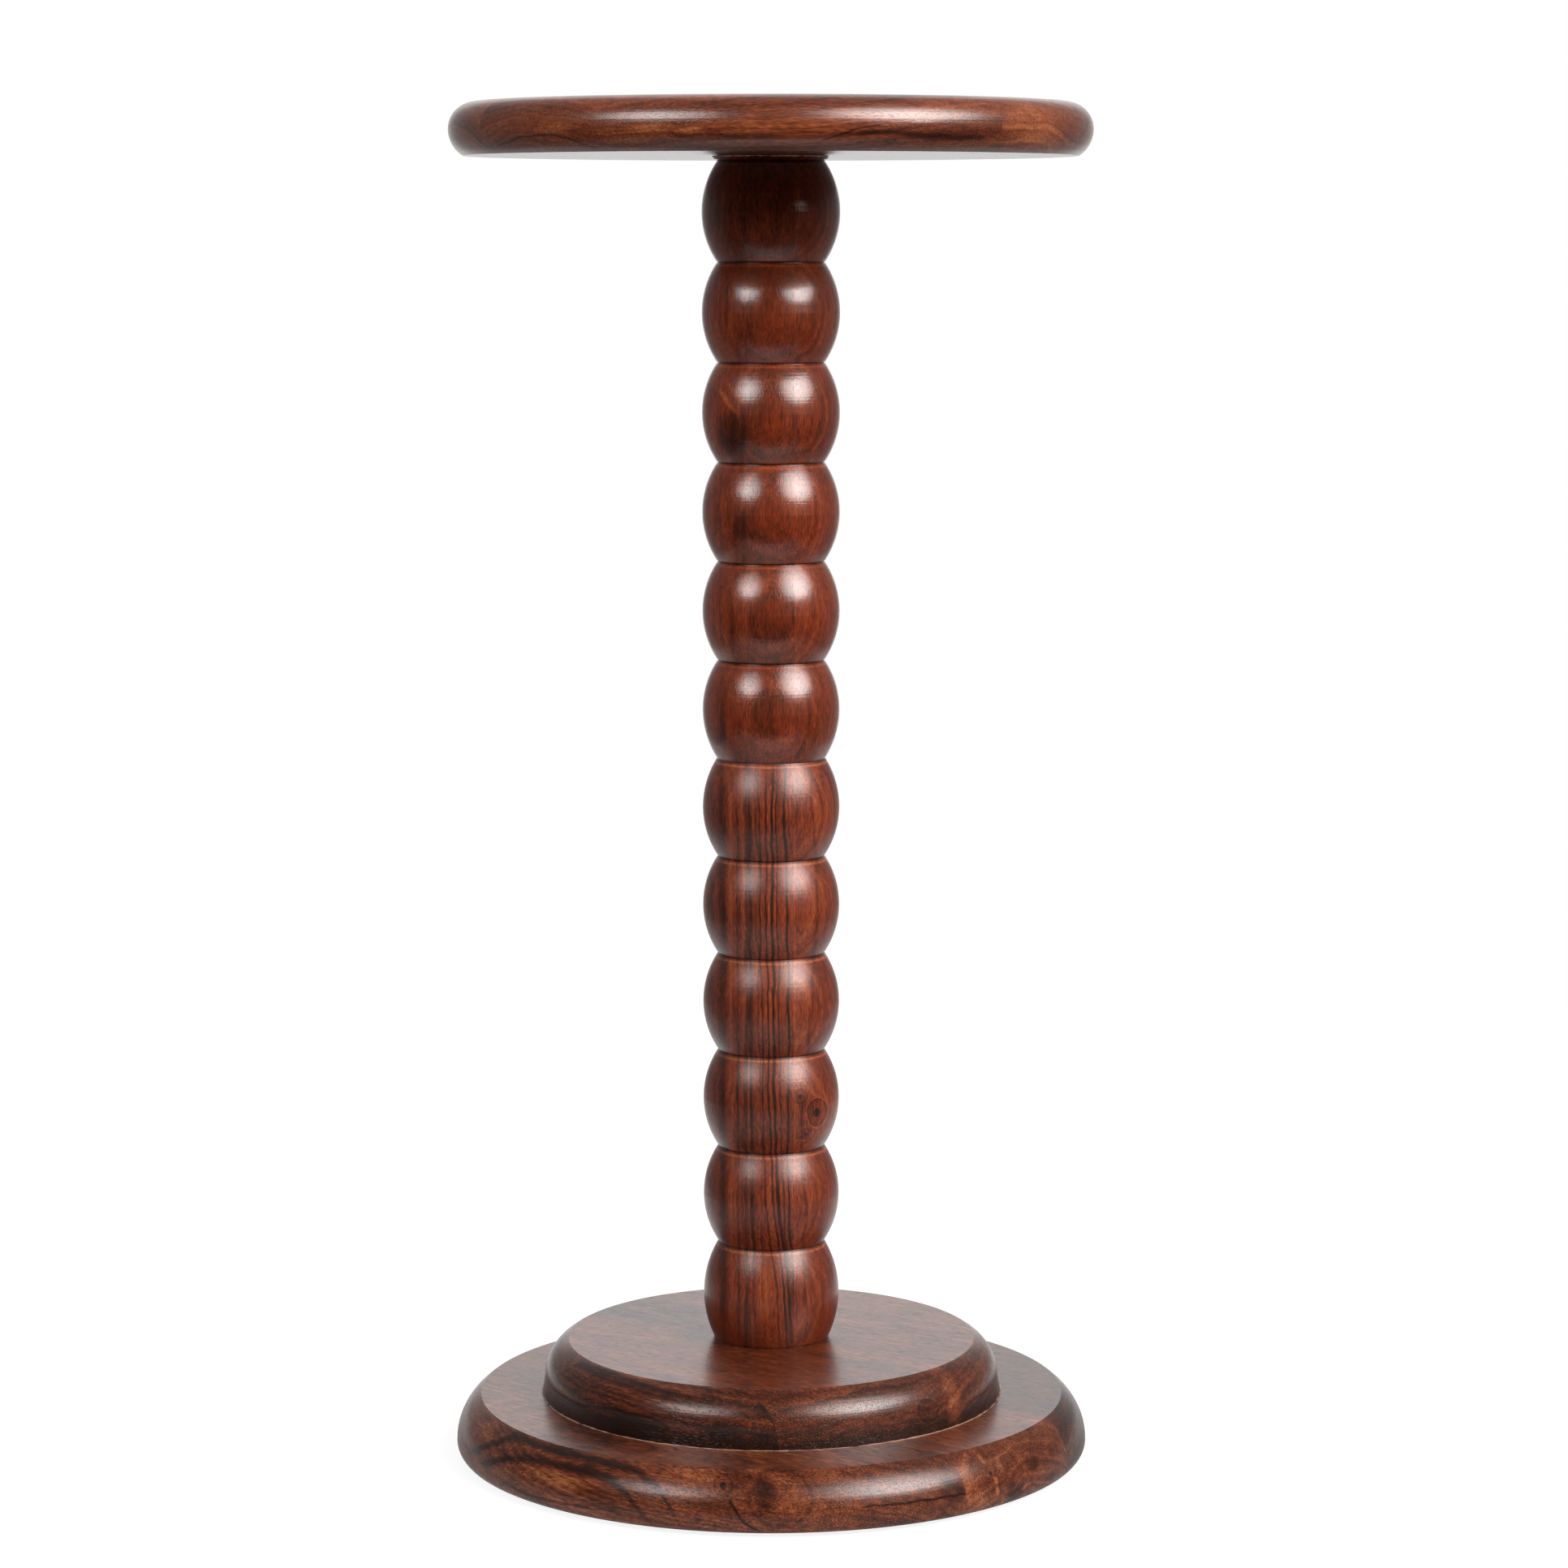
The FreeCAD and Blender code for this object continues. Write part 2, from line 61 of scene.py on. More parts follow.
# Places on the CAD part that the finishes follow, in millimetres and degrees
FOOT_GRAIN_ANGLE = -35.0
TOP_GRAIN_ANGLE = 6.0
BEAD_PITCH = 46.65
COLLAR_RADIUS = 26.7
GLUE_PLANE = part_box("column_upper_board_1")[0][0] * PER_MM
COLUMN_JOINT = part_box("column_upper_board_1")[0][2] * PER_MM
TIER_WALL_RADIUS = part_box("upper_tier_board_4")[1][0] * PER_MM
TIER_JOINT_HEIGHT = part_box("upper_tier_board_1")[0][2] * PER_MM
UPPER_TIER_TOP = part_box("upper_tier_board_1")[1][2] * PER_MM
TOP_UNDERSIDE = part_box("top_board_1")[0][2] * PER_MM

# Kinds of numbers among the settings
LENGTH = {"unit": "LENGTH"}
ANGLE = {"unit": "ROTATION"}
POWER = {"unit": "POWER"}
SHARE = {"subtype": "FACTOR", "min": 0.0, "max": 1.0}
# A range whose ends are eased
EASED = {"interpolation_type": "SMOOTHSTEP"}


def linear(hex_colour):
    """Linear RGBA of an sRGB hex colour such as 7A3B24."""
    parts = np.array([int(hex_colour[i:i + 2], 16) for i in (0, 2, 4)]) / 255.0
    light = np.where(parts <= 0.04045, parts / 12.92, ((parts + 0.055) / 1.055) ** 2.4)
    return (*light.tolist(), 1.0)


def grey(light):
    """RGBA of a grey, from 0 for black to 1 for white."""
    return (light, light, light, 1.0)


def colour(name, thing, hex_colour):
    """A setting that holds the colour of a thing."""
    return FloatVectorProperty(name=name, description=f"Colour of {thing}", size=4, subtype="COLOR",
                               default=linear(hex_colour))


def number(name, description, default, **kind):
    """A setting that holds a number of some kind."""
    return FloatProperty(name=name, description=description, default=default, **kind)


def node(tree, kind, inputs=None, out=0, **settings):
    """Adds a shader node, or an end of a group, with its settings, links or sets its inputs, and
    gives an output of it, or the node itself where out is None."""
    made = tree.nodes.new(kind if kind.startswith("NodeGroup") else f"ShaderNode{kind}")
    for name, setting in settings.items():
        setattr(made, name, setting)
    for socket, value in (inputs or {}).items():
        if isinstance(value, bpy.types.NodeSocket):
            tree.links.new(value, made.inputs[socket])
        else:
            made.inputs[socket].default_value = value
    return made if out is None else made.outputs[out]


def maths(add, operation, *values, **settings):
    """Adds a math node whose inputs are the values in their order."""
    return add("Math", dict(enumerate(values)), operation=operation, **settings)


def blank_material(name):
    """An empty node material, and the node function bound to its tree."""
    made = bpy.data.materials.new(name)
    made.use_nodes = True
    made.node_tree.nodes.clear()
    return made, partial(node, made.node_tree)


def fill_ramp(ramp, stops):
    """Gives a colour ramp its places and colours. Two stops are there from the start."""
    while len(ramp.elements) < len(stops):
        ramp.elements.new(0.5)
    for element, (place, shade) in zip(ramp.elements, stops):
        element.position = place
        element.color = shade


def new_object(name, points, faces):
    """A mesh object at the origin, from its points and faces."""
    mesh = bpy.data.meshes.new(name)
    mesh.from_pydata(points, [], faces)
    made = bpy.data.objects.new(name, mesh)
    bpy.context.scene.collection.objects.link(made)
    return made


class TableWoodSettings(bpy.types.PropertyGroup):
    """Colours and grain of the stained hardwood and its lacquer."""
    streak: colour("Streak", "the darkest streaks and of the pores", "1E0B06")
    column_dark: colour("Column, dark", "the late growth in the column", "481809")
    column_middle: colour("Column, middle", "most of the column", "70280F")
    column_light: colour("Column, light", "the early growth in the column", "8A3D1B")
    column_palest: colour("Column, palest", "the palest flecks in the column", "A05C33")
    disc_dark: colour("Discs, dark", "the late growth in the top and the foot", "3A170A")
    disc_middle: colour("Discs, middle", "most of the top and the foot", "5C2813")
    disc_light: colour("Discs, light", "the early growth in the top and the foot", "7A3D21")
    disc_palest: colour("Discs, palest", "the palest flecks in the top and the foot", "9C5B35")
    fibre_glow: colour("Fibre glow", "the light that the fibres send back", "FFC4A6")
    glue: colour("Dried glue", "the glue pressed out of a joint", "A8806A")
    top_lacquer: number("Top lacquer", "Roughness of the lacquer on the top", 0.23, **SHARE)
    upper_lacquer: number("Upper column lacquer", "Roughness on the upper half", 0.19, **SHARE)
    lower_lacquer: number("Lower column lacquer", "Roughness on the lower half", 0.31, **SHARE)
    upper_tier_lacquer: number("Upper tier lacquer", "Roughness on the upper tier", 0.24, **SHARE)
    lower_tier_lacquer: number("Lower tier lacquer", "Roughness on the lower tier", 0.22, **SHARE)
    lacquer_ior: number("Lacquer IOR", "Refractive index of the lacquer", 1.6, min=1.0, max=2.0)
    pore_width: number("Pore width", "Width of a pore, coarse enough to show", 0.6 * MM, **LENGTH)
    pore_length: number("Pore length", "Length of a pore along the grain", 6.0 * MM, **LENGTH)
    turning_pitch: number("Turning pitch", "Spacing of the lathe's lines, coarse enough to show", 0.9 * MM,
                          **LENGTH)


class TableFittingSettings(bpy.types.PropertyGroup):
    """Fastenings and felt pads."""
    zinc: colour("Zinc", "the zinc plating", "A7ABAE")
    brass: colour("Brass", "the brass inserts", "B3924F")
    felt: colour("Felt", "the felt", "4B3A30")
    felt_edge: number("Felt edge", "Rounding of a felt pad's edge", 0.6 * MM, **LENGTH)
    felt_fibre: number("Felt fibre", "Size of the felt's tangle, coarse enough to show", 0.4 * MM, **LENGTH)


class TableStudioSettings(bpy.types.PropertyGroup):
    """Softboxes, floor and camera."""
    key_power: number("Right softbox", "Power of the right softbox", 17.5, **POWER)
    key_width: number("Right softbox width", "Width of the right softbox", 2.4, **LENGTH)
    key_azimuth: number("Right softbox azimuth", "Turn to the camera's right", math.radians(52.0), **ANGLE)
    key_elevation: number("Right softbox elevation", "Rise above the aim", math.radians(28.2), **ANGLE)
    fill_power: number("Left softbox", "Power of the left softbox", 3.8, **POWER)
    fill_width: number("Left softbox width", "Width of the left softbox", 1.75, **LENGTH)
    fill_azimuth: number("Left softbox azimuth", "Turn to the camera's right", math.radians(-43.0), **ANGLE)
    fill_elevation: number("Left softbox elevation", "Rise above the aim", math.radians(25.0), **ANGLE)
    softbox_distance: number("Softbox distance", "Distance of a softbox from its aim", 1.9, **LENGTH)
    softbox_aim: number("Softbox aim", "Height above the floor that the softboxes face", 0.8, **LENGTH)
    softbox_height: number("Softbox height", "Height of a softbox as a share of its width", 0.7, **SHARE)
    floor_front: number("Floor in front", "Reach of the white floor in front of the column", 0.5, **LENGTH)
    floor_back: number("Floor behind", "Reach of the white floor behind the column", 1.2, **LENGTH)
    floor_width: number("Floor width", "Width of the white floor", 1.2, **LENGTH)
    floor_drop: number("Floor drop", "Gap that keeps the floor clear of the felt", 0.2 * MM, **LENGTH)
    lens: number("Lens", "Focal length in millimetres", 100.04)
    sensor: number("Sensor", "Width of the camera's sensor in millimetres", 36.0)
    camera_distance: number("Camera distance", "Distance in front of the column", 2.051, **LENGTH)
    camera_height: number("Camera height", "Height of the camera above the floor", 0.5848, **LENGTH)
    camera_pitch: number("Camera pitch", "How far the camera looks down", math.radians(7.283), **ANGLE)
    camera_yaw: number("Camera yaw", "How far the camera looks to the right", math.radians(0.171), **ANGLE)


# Stained hardwood, planed, glued and turned. Growth rings give bands, fine lines and dark streaks,
# open pores give short dark flecks along the grain, and the lathe leaves fine lines round the axis.
# Real pores and turning lines are finer, and are drawn as coarse as they need to be to show.

# Inputs of the wood's node group and what they are where a board doesn't say
WOOD_INPUTS = {
    "Place": (0, 0, 0), "Spot": (0, 0, 0), "Pith": (0, 60, 0), "Lean": (0, 0, 0), "Seed": 0.0,
    "Wander": 5.0, "Tone": 0.0, "Drawn": 0.0, "Bands": 0.25, "Band width": 11.0, "Lines": 0.2,
    "Line width": 2.2, "Streaks": 0.4, "Streak width": 5.5, "Mottle": 0.12, "Fleck": 0.22, "Pores": 0.5,
    "Brown": 0.0, "Bulge": 0.0,
}
WOOD_OUTPUTS = {"Colour": "NodeSocketColor", "Relief": "NodeSocketFloat", "Pores": "NodeSocketFloat"}
# Noises drawn out along the grain: width and length in millimetres, and detail
GRAIN_NOISES = {
    "bend": (42.0, 150.0, 1.0), "ripple": (8.0, 40.0, 1.0), "streaky place": (38.0, 170.0, 1.0),
    "fleck": (0.7, 4.5, 1.0), "mottle": (3.2, 26.0, 2.0), "cloud": (26.0, 70.0, 1.0),
}
# Noises of the ring distance, by the input that sizes them: how far a seed shifts them, and detail
RING_NOISES = {"Band width": (7.13, 1.0), "Line width": (3.71, 2.0), "Streak width": (5.37, 1.0)}
# Levels of a noise at which its mark starts to show, and shows in full
STREAK_LEVELS = {"From Min": 0.08, "From Max": 0.36}
PLACE_LEVELS = {"From Min": -0.28, "From Max": 0.16}
PORE_LEVELS = {"From Min": 0.22, "From Max": 0.5}
# Millimetres between the pieces of noise that two seeds take
SEED_STEP = (137.1, 57.3, 211.7)
# Places of the streak, dark, middle, light and palest colours from dark to pale tone
MIDDLE_TONE = 0.5
TONE_STOPS = (0.0, 0.27, MIDDLE_TONE, 0.74, 1.0)
# How far the ripple moves a ring, in millimetres, and how much the cloud changes the tone
RIPPLE_AMOUNT = 1.0
CLOUD_AMOUNT = 0.1
# Depth of the turning lines as a share of the pores' depth
TURNING_DEPTH = 0.25


def figured_hardwood():
    """Node group of the wood. Place comes in millimetres with Z along the grain, and Spot in
    millimetres on the table. Rings are shells round a leaning pith: the distance from it, bent by
    slow noise, drives the bands, lines and streaks. Pores are noise drawn out along Z, and the
    turning lines are noise of the radius and height alone."""
    wood = bpy.context.scene.table_wood
    tree = bpy.data.node_groups.new("figured hardwood", "ShaderNodeTree")
    add = partial(node, tree)
    for name, default in WOOD_INPUTS.items():
        kind = "NodeSocketVector" if isinstance(default, tuple) else "NodeSocketFloat"
        tree.interface.new_socket(name, in_out="INPUT", socket_type=kind).default_value = default
    for name, kind in WOOD_OUTPUTS.items():
        tree.interface.new_socket(name, in_out="OUTPUT", socket_type=kind)
    given = add("NodeGroupInput", out=None).outputs

    spread = add("VectorMath", {0: SEED_STEP, "Scale": given["Seed"]}, operation="SCALE")
    own = add("VectorMath", {0: given["Place"], 1: spread}, operation="ADD")

    noises = {**GRAIN_NOISES, "pore": (wood.pore_width * PER_MM, wood.pore_length * PER_MM, 1.0)}

    def grain_noise(kind):
        """Noise about zero, drawn out along the grain, sized in millimetres."""
        width, length, detail = noises[kind]
        sized = add("VectorMath", {0: own, 1: (1 / width, 1 / width, 1 / length)}, operation="MULTIPLY")
        return add("TexNoise", {"Vector": sized, "Scale": 1.0, "Detail": detail},
                   noise_dimensions="3D", normalize=False)

    along = add("SeparateXYZ", {0: given["Place"]}, out=2)
    leaned = add("VectorMath", {0: given["Lean"], "Scale": along}, operation="SCALE")
    pith = add("VectorMath", {0: given["Pith"], 1: leaned}, operation="ADD")
    away = add("VectorMath", {0: given["Place"], 1: pith}, operation="SUBTRACT")
    level = add("VectorMath", {0: away, 1: (1, 1, 0)}, operation="MULTIPLY")
    straight = add("VectorMath", {0: level}, out=1, operation="LENGTH")
    ring = maths(add, "ADD", straight, given["Bulge"])
    for kind, amount in (("bend", given["Wander"]), ("ripple", RIPPLE_AMOUNT)):
        ring = maths(add, "MULTIPLY_ADD", grain_noise(kind), amount, ring)

    def ring_noise(width):
        """Noise about zero of the ring distance alone, so that it draws shells. Width is the name
        of the input that sizes it."""
        step, detail = RING_NOISES[width]
        shift = maths(add, "MULTIPLY", given["Seed"], step)
        scaled = maths(add, "DIVIDE", ring, given[width])
        shifted = maths(add, "ADD", scaled, shift)
        return add("TexNoise", {"W": shifted, "Scale": 1.0, "Detail": detail},
                   noise_dimensions="1D", normalize=False)

    peaks = add("MapRange", {"Value": ring_noise("Streak width"), **STREAK_LEVELS}, **EASED)
    where = add("MapRange", {"Value": grain_noise("streaky place"), **PLACE_LEVELS}, **EASED)
    shown = maths(add, "MULTIPLY", peaks, where)
    streak = maths(add, "MULTIPLY", shown, given["Streaks"])
    pale = maths(add, "ADD", given["Tone"], MIDDLE_TONE)
    parts = ((ring_noise("Band width"), given["Bands"]), (ring_noise("Line width"), given["Lines"]),
             (grain_noise("fleck"), given["Fleck"]), (grain_noise("mottle"), given["Mottle"]),
             (grain_noise("cloud"), CLOUD_AMOUNT))
    for noise, amount in parts:
        pale = maths(add, "MULTIPLY_ADD", noise, amount, pale)
    marked = maths(add, "ADD", pale, given["Drawn"])
    tone = maths(add, "SUBTRACT", marked, streak)
    palettes = []
    for shades in ((wood.column_dark, wood.column_middle, wood.column_light, wood.column_palest),
                   (wood.disc_dark, wood.disc_middle, wood.disc_light, wood.disc_palest)):
        ramp = add("ValToRGB", {0: tone}, out=None)
        fill_ramp(ramp.color_ramp, tuple(zip(TONE_STOPS, (wood.streak, *shades))))
        palettes.append(ramp.outputs[0])
    plain = add("Mix", {0: given["Brown"], 6: palettes[0], 7: palettes[1]}, out=2, data_type="RGBA")

    pit = add("MapRange", {"Value": grain_noise("pore"), **PORE_LEVELS}, **EASED)
    pore = maths(add, "MULTIPLY", pit, given["Pores"])
    stained = add("Mix", {0: pore, 6: plain, 7: wood.streak}, out=2, data_type="RGBA")

    axis = add("VectorMath", {0: given["Spot"], 1: (1, 1, 0)}, operation="MULTIPLY")
    radius = add("VectorMath", {0: axis}, out=1, operation="LENGTH")
    height = add("SeparateXYZ", {0: given["Spot"]}, out=2)
    lathe = add("CombineXYZ", {0: radius, 1: height})
    turned = add("TexNoise", {"Vector": lathe, "Scale": 1 / (wood.turning_pitch * PER_MM), "Detail": 1.0},
                 noise_dimensions="2D", normalize=False)
    grooved = maths(add, "MULTIPLY", turned, TURNING_DEPTH)
    relief = maths(add, "MULTIPLY_ADD", pore, -1.0, grooved)
    add("NodeGroupOutput", {"Colour": stained, "Relief": relief, "Pores": pore}, out=None)


def grain_turn(angle=None):
    """The turn into a board's own axes: across, through and along the grain. A column's grain
    stands upright, and a disc's lies level at an angle from X."""
    if angle is None:
        return Matrix.Identity(3)
    turn = math.radians(angle)
    along = Vector((math.cos(turn), math.sin(turn), 0))
    through = Vector((0, 0, 1))
    return Matrix((through.cross(along), through, along))


def drawn_lines(add, place, lines, reach):
    """Dark and pale lines at measured places. Each has a middle, a half width and a strength,
    which is below zero for a dark one, and a ramp over the reach holds them all."""
    spread = add("MapRange", {"Value": place, "From Min": -reach, "From Max": reach})
    ramp = add("ValToRGB", {0: spread}, out=None)
    stops = [(0.0, 0.5)]
    for middle, half, strength in sorted(lines):
        centre = 0.5 + 0.5 * middle / reach
        side = 0.5 * half / reach
        stops += [(centre - side, 0.5), (centre, 0.5 + 0.5 * strength), (centre + side, 0.5)]
    stops.append((1.0, 0.5))
    fill_ramp(ramp.color_ramp, [(spot, grey(light)) for spot, light in stops])
    return maths(add, "MULTIPLY_ADD", ramp.outputs[0], 2.0, -1.0)


# Share of a growth line's length, at each end, over which it fades out
LINE_FADE = 0.08
# Millimetres above a growth line's highest point that its range of levels ends
LINE_HEADROOM = 0.1
# Sizes in millimetres of the waves that carry growth lines off their measured places, and how far
LINE_WAVES = (9.0, 9.0, 22.0)
LINE_SWAY = 0.9


def growth_line(add, along, level, line):
    """One growth line, drawn through measured points: a place along the grain and the level there.
    It has a strength, below zero for a dark line, and a half width, and fades out at its ends."""
    strength, half, points = line
    places, levels = zip(*points)
    start, end = places[0], places[-1]
    low, high = min(levels), max(levels) + LINE_HEADROOM
    share = add("MapRange", {"Value": along, "From Min": start, "From Max": end})
    curve = add("ValToRGB", {0: share}, out=None)
    curve.color_ramp.interpolation = "CARDINAL"
    fill_ramp(curve.color_ramp, [((place - start) / (end - start), grey((there - low) / (high - low)))
                                 for place, there in points])
    middle = add("MapRange", {"Value": curve.outputs[0], "To Min": low, "To Max": high})
    gap = maths(add, "ABSOLUTE", maths(add, "SUBTRACT", level, middle))
    shade = add("MapRange",
                {"Value": gap, "From Min": half, "From Max": 0.0, "To Max": strength}, **EASED)
    edge = maths(add, "ABSOLUTE", maths(add, "SUBTRACT", share, 0.5))
    kept = add("MapRange", {"Value": edge, "From Min": 0.5, "From Max": 0.5 - LINE_FADE})
    return maths(add, "MULTIPLY", shade, kept)


# Half the width in millimetres that the glue lines of a board may lie in
JOINT_REACH = 40.0
# Size in millimetres of the waves in an oval's outline, and their height as a share of its least size
OVAL_WAVES = 12.0
OVAL_SWAY = 0.6
# A knot's rings as distance from its middle, half width and share of the ring's strength, then its
# heart's half width, the reach of the rings that it bends, and the reach that holds all its lines
KNOT_RINGS = ((0.6, 0.1, -0.4), (0.8, 0.09, -0.5), (1.0, 0.11, -1.0), (1.2, 0.09, 0.4))
HEART_WIDTH = 0.42
BULGE_REACH = 2.4
KNOT_REACH = 4.0
# A patch fades out from its middle to its outline
PATCH_FADE = {"From Min": 1.0, "From Max": 0.3}
RELIEF_DEPTH = 0.12 * MM
# Roughness of the fibres under the lacquer, away from the pores and in them
FIBRE_ROUGHNESS = {"To Min": 0.42, "To Max": 0.6}


def board_finish(name, turn, lacquer, relief=0.3, glow=0.4, coat=1.0, level_axis=1, growth=(), joints=(),
                 grooves=(), stains=(), knots=(), patches=(), **grain):
    """Lacquered board. Growth lines are drawn through measured points, joints are glue lines across
    the grain, and grooves are lines at the turned grooves of the column. A band of height is painted
    darker or paler, partly as stain and partly as painted light and shade: it has the heights at which
    it starts and is full, and a strength. Knots and patches are ovals with a wavy outline: a middle and
    half sizes in the board's own axes, and a turn about its second axis. A knot then has the bulge that
    it gives to the rings round it, and how dark its heart and its ring are. A patch has a strength,
    below zero for darker wood. The rest are inputs of the wood's node group."""
    wood = bpy.context.scene.table_wood
    made, add = blank_material(name)
    place = add("TexCoord", out="Object")
    spot = add("VectorMath", {0: place, "Scale": PER_MM}, operation="SCALE")
    own = add("Mapping", {"Vector": spot, "Rotation": turn.to_euler("XYZ")})
    axes = add("SeparateXYZ", {0: own}, out=None).outputs
    height = add("SeparateXYZ", {0: spot}, out=2)
    marks = []
    swells = []
    if growth:
        sizes = tuple(1 / size for size in LINE_WAVES)
        wave = add("VectorMath", {0: own, 1: sizes}, operation="MULTIPLY")
        noise = add("TexNoise", {"Vector": wave, "Scale": 1.0, "Detail": 2.0}, normalize=False)
        level = maths(add, "MULTIPLY_ADD", noise, LINE_SWAY, axes[level_axis])
        marks += [growth_line(add, axes[2], level, line) for line in growth]
    if joints:
        marks.append(drawn_lines(add, axes[0], joints, JOINT_REACH))
    if grooves:
        half = 0.5 * BEAD_PITCH
        nearest = maths(add, "WRAP", height, COLUMN_JOINT + half, COLUMN_JOINT - half)
        offset = maths(add, "SUBTRACT", nearest, COLUMN_JOINT)
        marks.append(drawn_lines(add, offset, grooves, half))
    # Bands of height painted darker or paler, partly as painted light and shade
    for start, end, strength in stains:
        marks.append(add("MapRange",
                         {"Value": height, "From Min": start, "From Max": end, "To Max": strength},
                         **EASED))
    if knots or patches:
        sway = add("TexNoise", {"Vector": own, "Scale": 1 / OVAL_WAVES, "Detail": 1.0}, out=1)
        sway = add("VectorMath", {0: sway, 1: (0.5, 0.5, 0.5)}, operation="SUBTRACT")

    def from_middle(middle, sizes, angle):
        """Distance from the middle of an oval, which is 1 on its wavy outline."""
        wave = (OVAL_SWAY * min(sizes),) * 3
        wavy = add("VectorMath", {0: sway, 1: wave, 2: own}, operation="MULTIPLY_ADD")
        inside = add("Mapping",
                     {"Vector": wavy, "Location": middle, "Rotation": (0, math.radians(angle), 0),
                      "Scale": sizes}, vector_type="TEXTURE")
        return add("VectorMath", {0: inside}, out=1, operation="LENGTH")

    for middle, sizes, angle, bulge, heart, ring in knots:
        apart = from_middle(middle, sizes, angle)
        swells.append(add("MapRange",
                          {"Value": apart, "From Min": BULGE_REACH, "From Max": 0.0, "To Max": bulge},
                          interpolation_type="SMOOTHERSTEP"))
        lines = [(0.0, HEART_WIDTH, -heart)]
        lines += [(away, half, share * ring) for away, half, share in KNOT_RINGS]
        marks.append(drawn_lines(add, apart, lines, KNOT_REACH))
    for middle, sizes, angle, strength in patches:
        marks.append(add("MapRange",
                         {"Value": from_middle(middle, sizes, angle), "To Max": strength, **PATCH_FADE},
                         **EASED))
    given = {"Place": own, "Spot": spot}
    for socket, parts in (("Drawn", marks), ("Bulge", swells)):
        given[socket] = 0.0
        for part in parts:
            given[socket] = maths(add, "ADD", given[socket], part)
    figure = add("Group", given, out=None, node_tree=bpy.data.node_groups["figured hardwood"])
    for socket, value in grain.items():
        figure.inputs[socket.replace("_", " ").capitalize()].default_value = value
    bump = add("Bump", {"Height": figure.outputs["Relief"], "Strength": relief, "Distance": RELIEF_DEPTH})
    rough = add("MapRange", {"Value": figure.outputs["Pores"], **FIBRE_ROUGHNESS})
    shader = add("BsdfPrincipled",
                 {"Base Color": figure.outputs["Colour"], "Roughness": rough, "Specular IOR Level": glow,
                  "Specular Tint": wood.fibre_glow, "Coat Weight": coat, "Coat Roughness": lacquer,
                  "Coat IOR": wood.lacquer_ior, "Normal": bump, "Coat Normal": bump})
    add("OutputMaterial", {"Surface": shader}, out=None)
    return made


def wear(node_name, material):
    """Gives a CAD node its finish."""
    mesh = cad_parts[node_name].data
    mesh.materials.clear()
    mesh.materials.append(material)


def dress_boards(stem, boards, lacquer, angle=None, **shared):
    """Gives each board of a blank its own piece of the wood."""
    if "figured hardwood" not in bpy.data.node_groups:
        figured_hardwood()
    for count, grain in enumerate(boards, start=1):
        name = f"{stem}_{count}"
        looks = {**shared, **grain}
        wear(name, board_finish(f"lacquered hardwood {name}", grain_turn(angle), lacquer, **looks))


# Grain of each board: ring centre, lean and contrast, in the board's own axes and millimetres

TOP_BOARDS = (
    dict(pith=(-130, 560, 0), lean=(0, 0.05, 0), seed=1.0, bands=0.14, lines=0.12, streaks=0.1,
         growth=((-0.35, 0.8, ((6, 621.3), (21, 626.5), (34, 629))),
                 (-0.3, 1.8, ((22, 626), (57, 624), (84, 623.7))),
                 (-0.2, 1.2, ((-60, 624), (0, 625), (10, 625.5)))),
         patches=(((-134, 627.5, -66), (30, 2.6, 13), 0, 0.22),
                  ((-141, 626.5, -50), (30, 2.2, 9), 0, 0.25))),
    dict(pith=(-95, 500, 0), lean=(0, -0.1, 0), seed=2.6, bands=0.16, lines=0.14, streaks=0.12,
         growth=((-0.35, 0.8, ((-131, 621), (-122, 623.5), (-112, 625), (-104, 624.3), (-87, 618.5))),),
         # The second patch, at the rim's right end, is an orange blotch in the wood, made paler still as a
         # painted highlight
         patches=(((-104, 628, -108), (20, 3, 16), 0, 0.2), ((-105, 630, 108), (40, 20, 30), 0, 0.28))),
    dict(pith=(-20, 585, 0), lean=(0, 0.04, 0), seed=3.0, tone=0.04, bands=0.15, lines=0.12, streaks=0.15),
    dict(pith=(30, 690, 0), lean=(0.02, -0.05, 0), seed=4.0, tone=-0.04, bands=0.17, lines=0.14,
         streaks=0.15),
    dict(pith=(100, 560, 0), lean=(0, 0.06, 0), seed=5.0, tone=0.03, bands=0.17, lines=0.12, streaks=0.2),
    dict(pith=(140, 540, 0), lean=(0, 0.02, 0), seed=6.0, tone=-0.02, bands=0.15, lines=0.14, streaks=0.15),
)
COLUMN_UPPER_BOARDS = (
    dict(pith=(12, 75, 0), lean=(0, 0.02, 0), seed=11.0, tone=-0.03),
    dict(pith=(-4, 82, 0), lean=(0.01, 0.02, 0), seed=12.0, tone=-0.06,
         joints=((-GLUE_PLANE, 0.4, -0.08),)),
    dict(pith=(-260, -40, 0), lean=(0.01, 0, 0), seed=13.0, tone=-0.05,
         patches=(((-18, -26, 488.5), (11, 25, 15), 0, -0.24), ((-15, -28, 446), (4.5, 20, 12), 0, -0.22),
                  ((-20, -25, 504.5), (1.8, 20, 12), -36, 0.3), ((-17, -25, 509), (1.3, 20, 9), -36, 0.2),
                  ((-18, -25, 398), (2, 20, 18), 0, -0.18), ((-23, -25, 352), (2, 20, 18), 0, -0.18))),
)
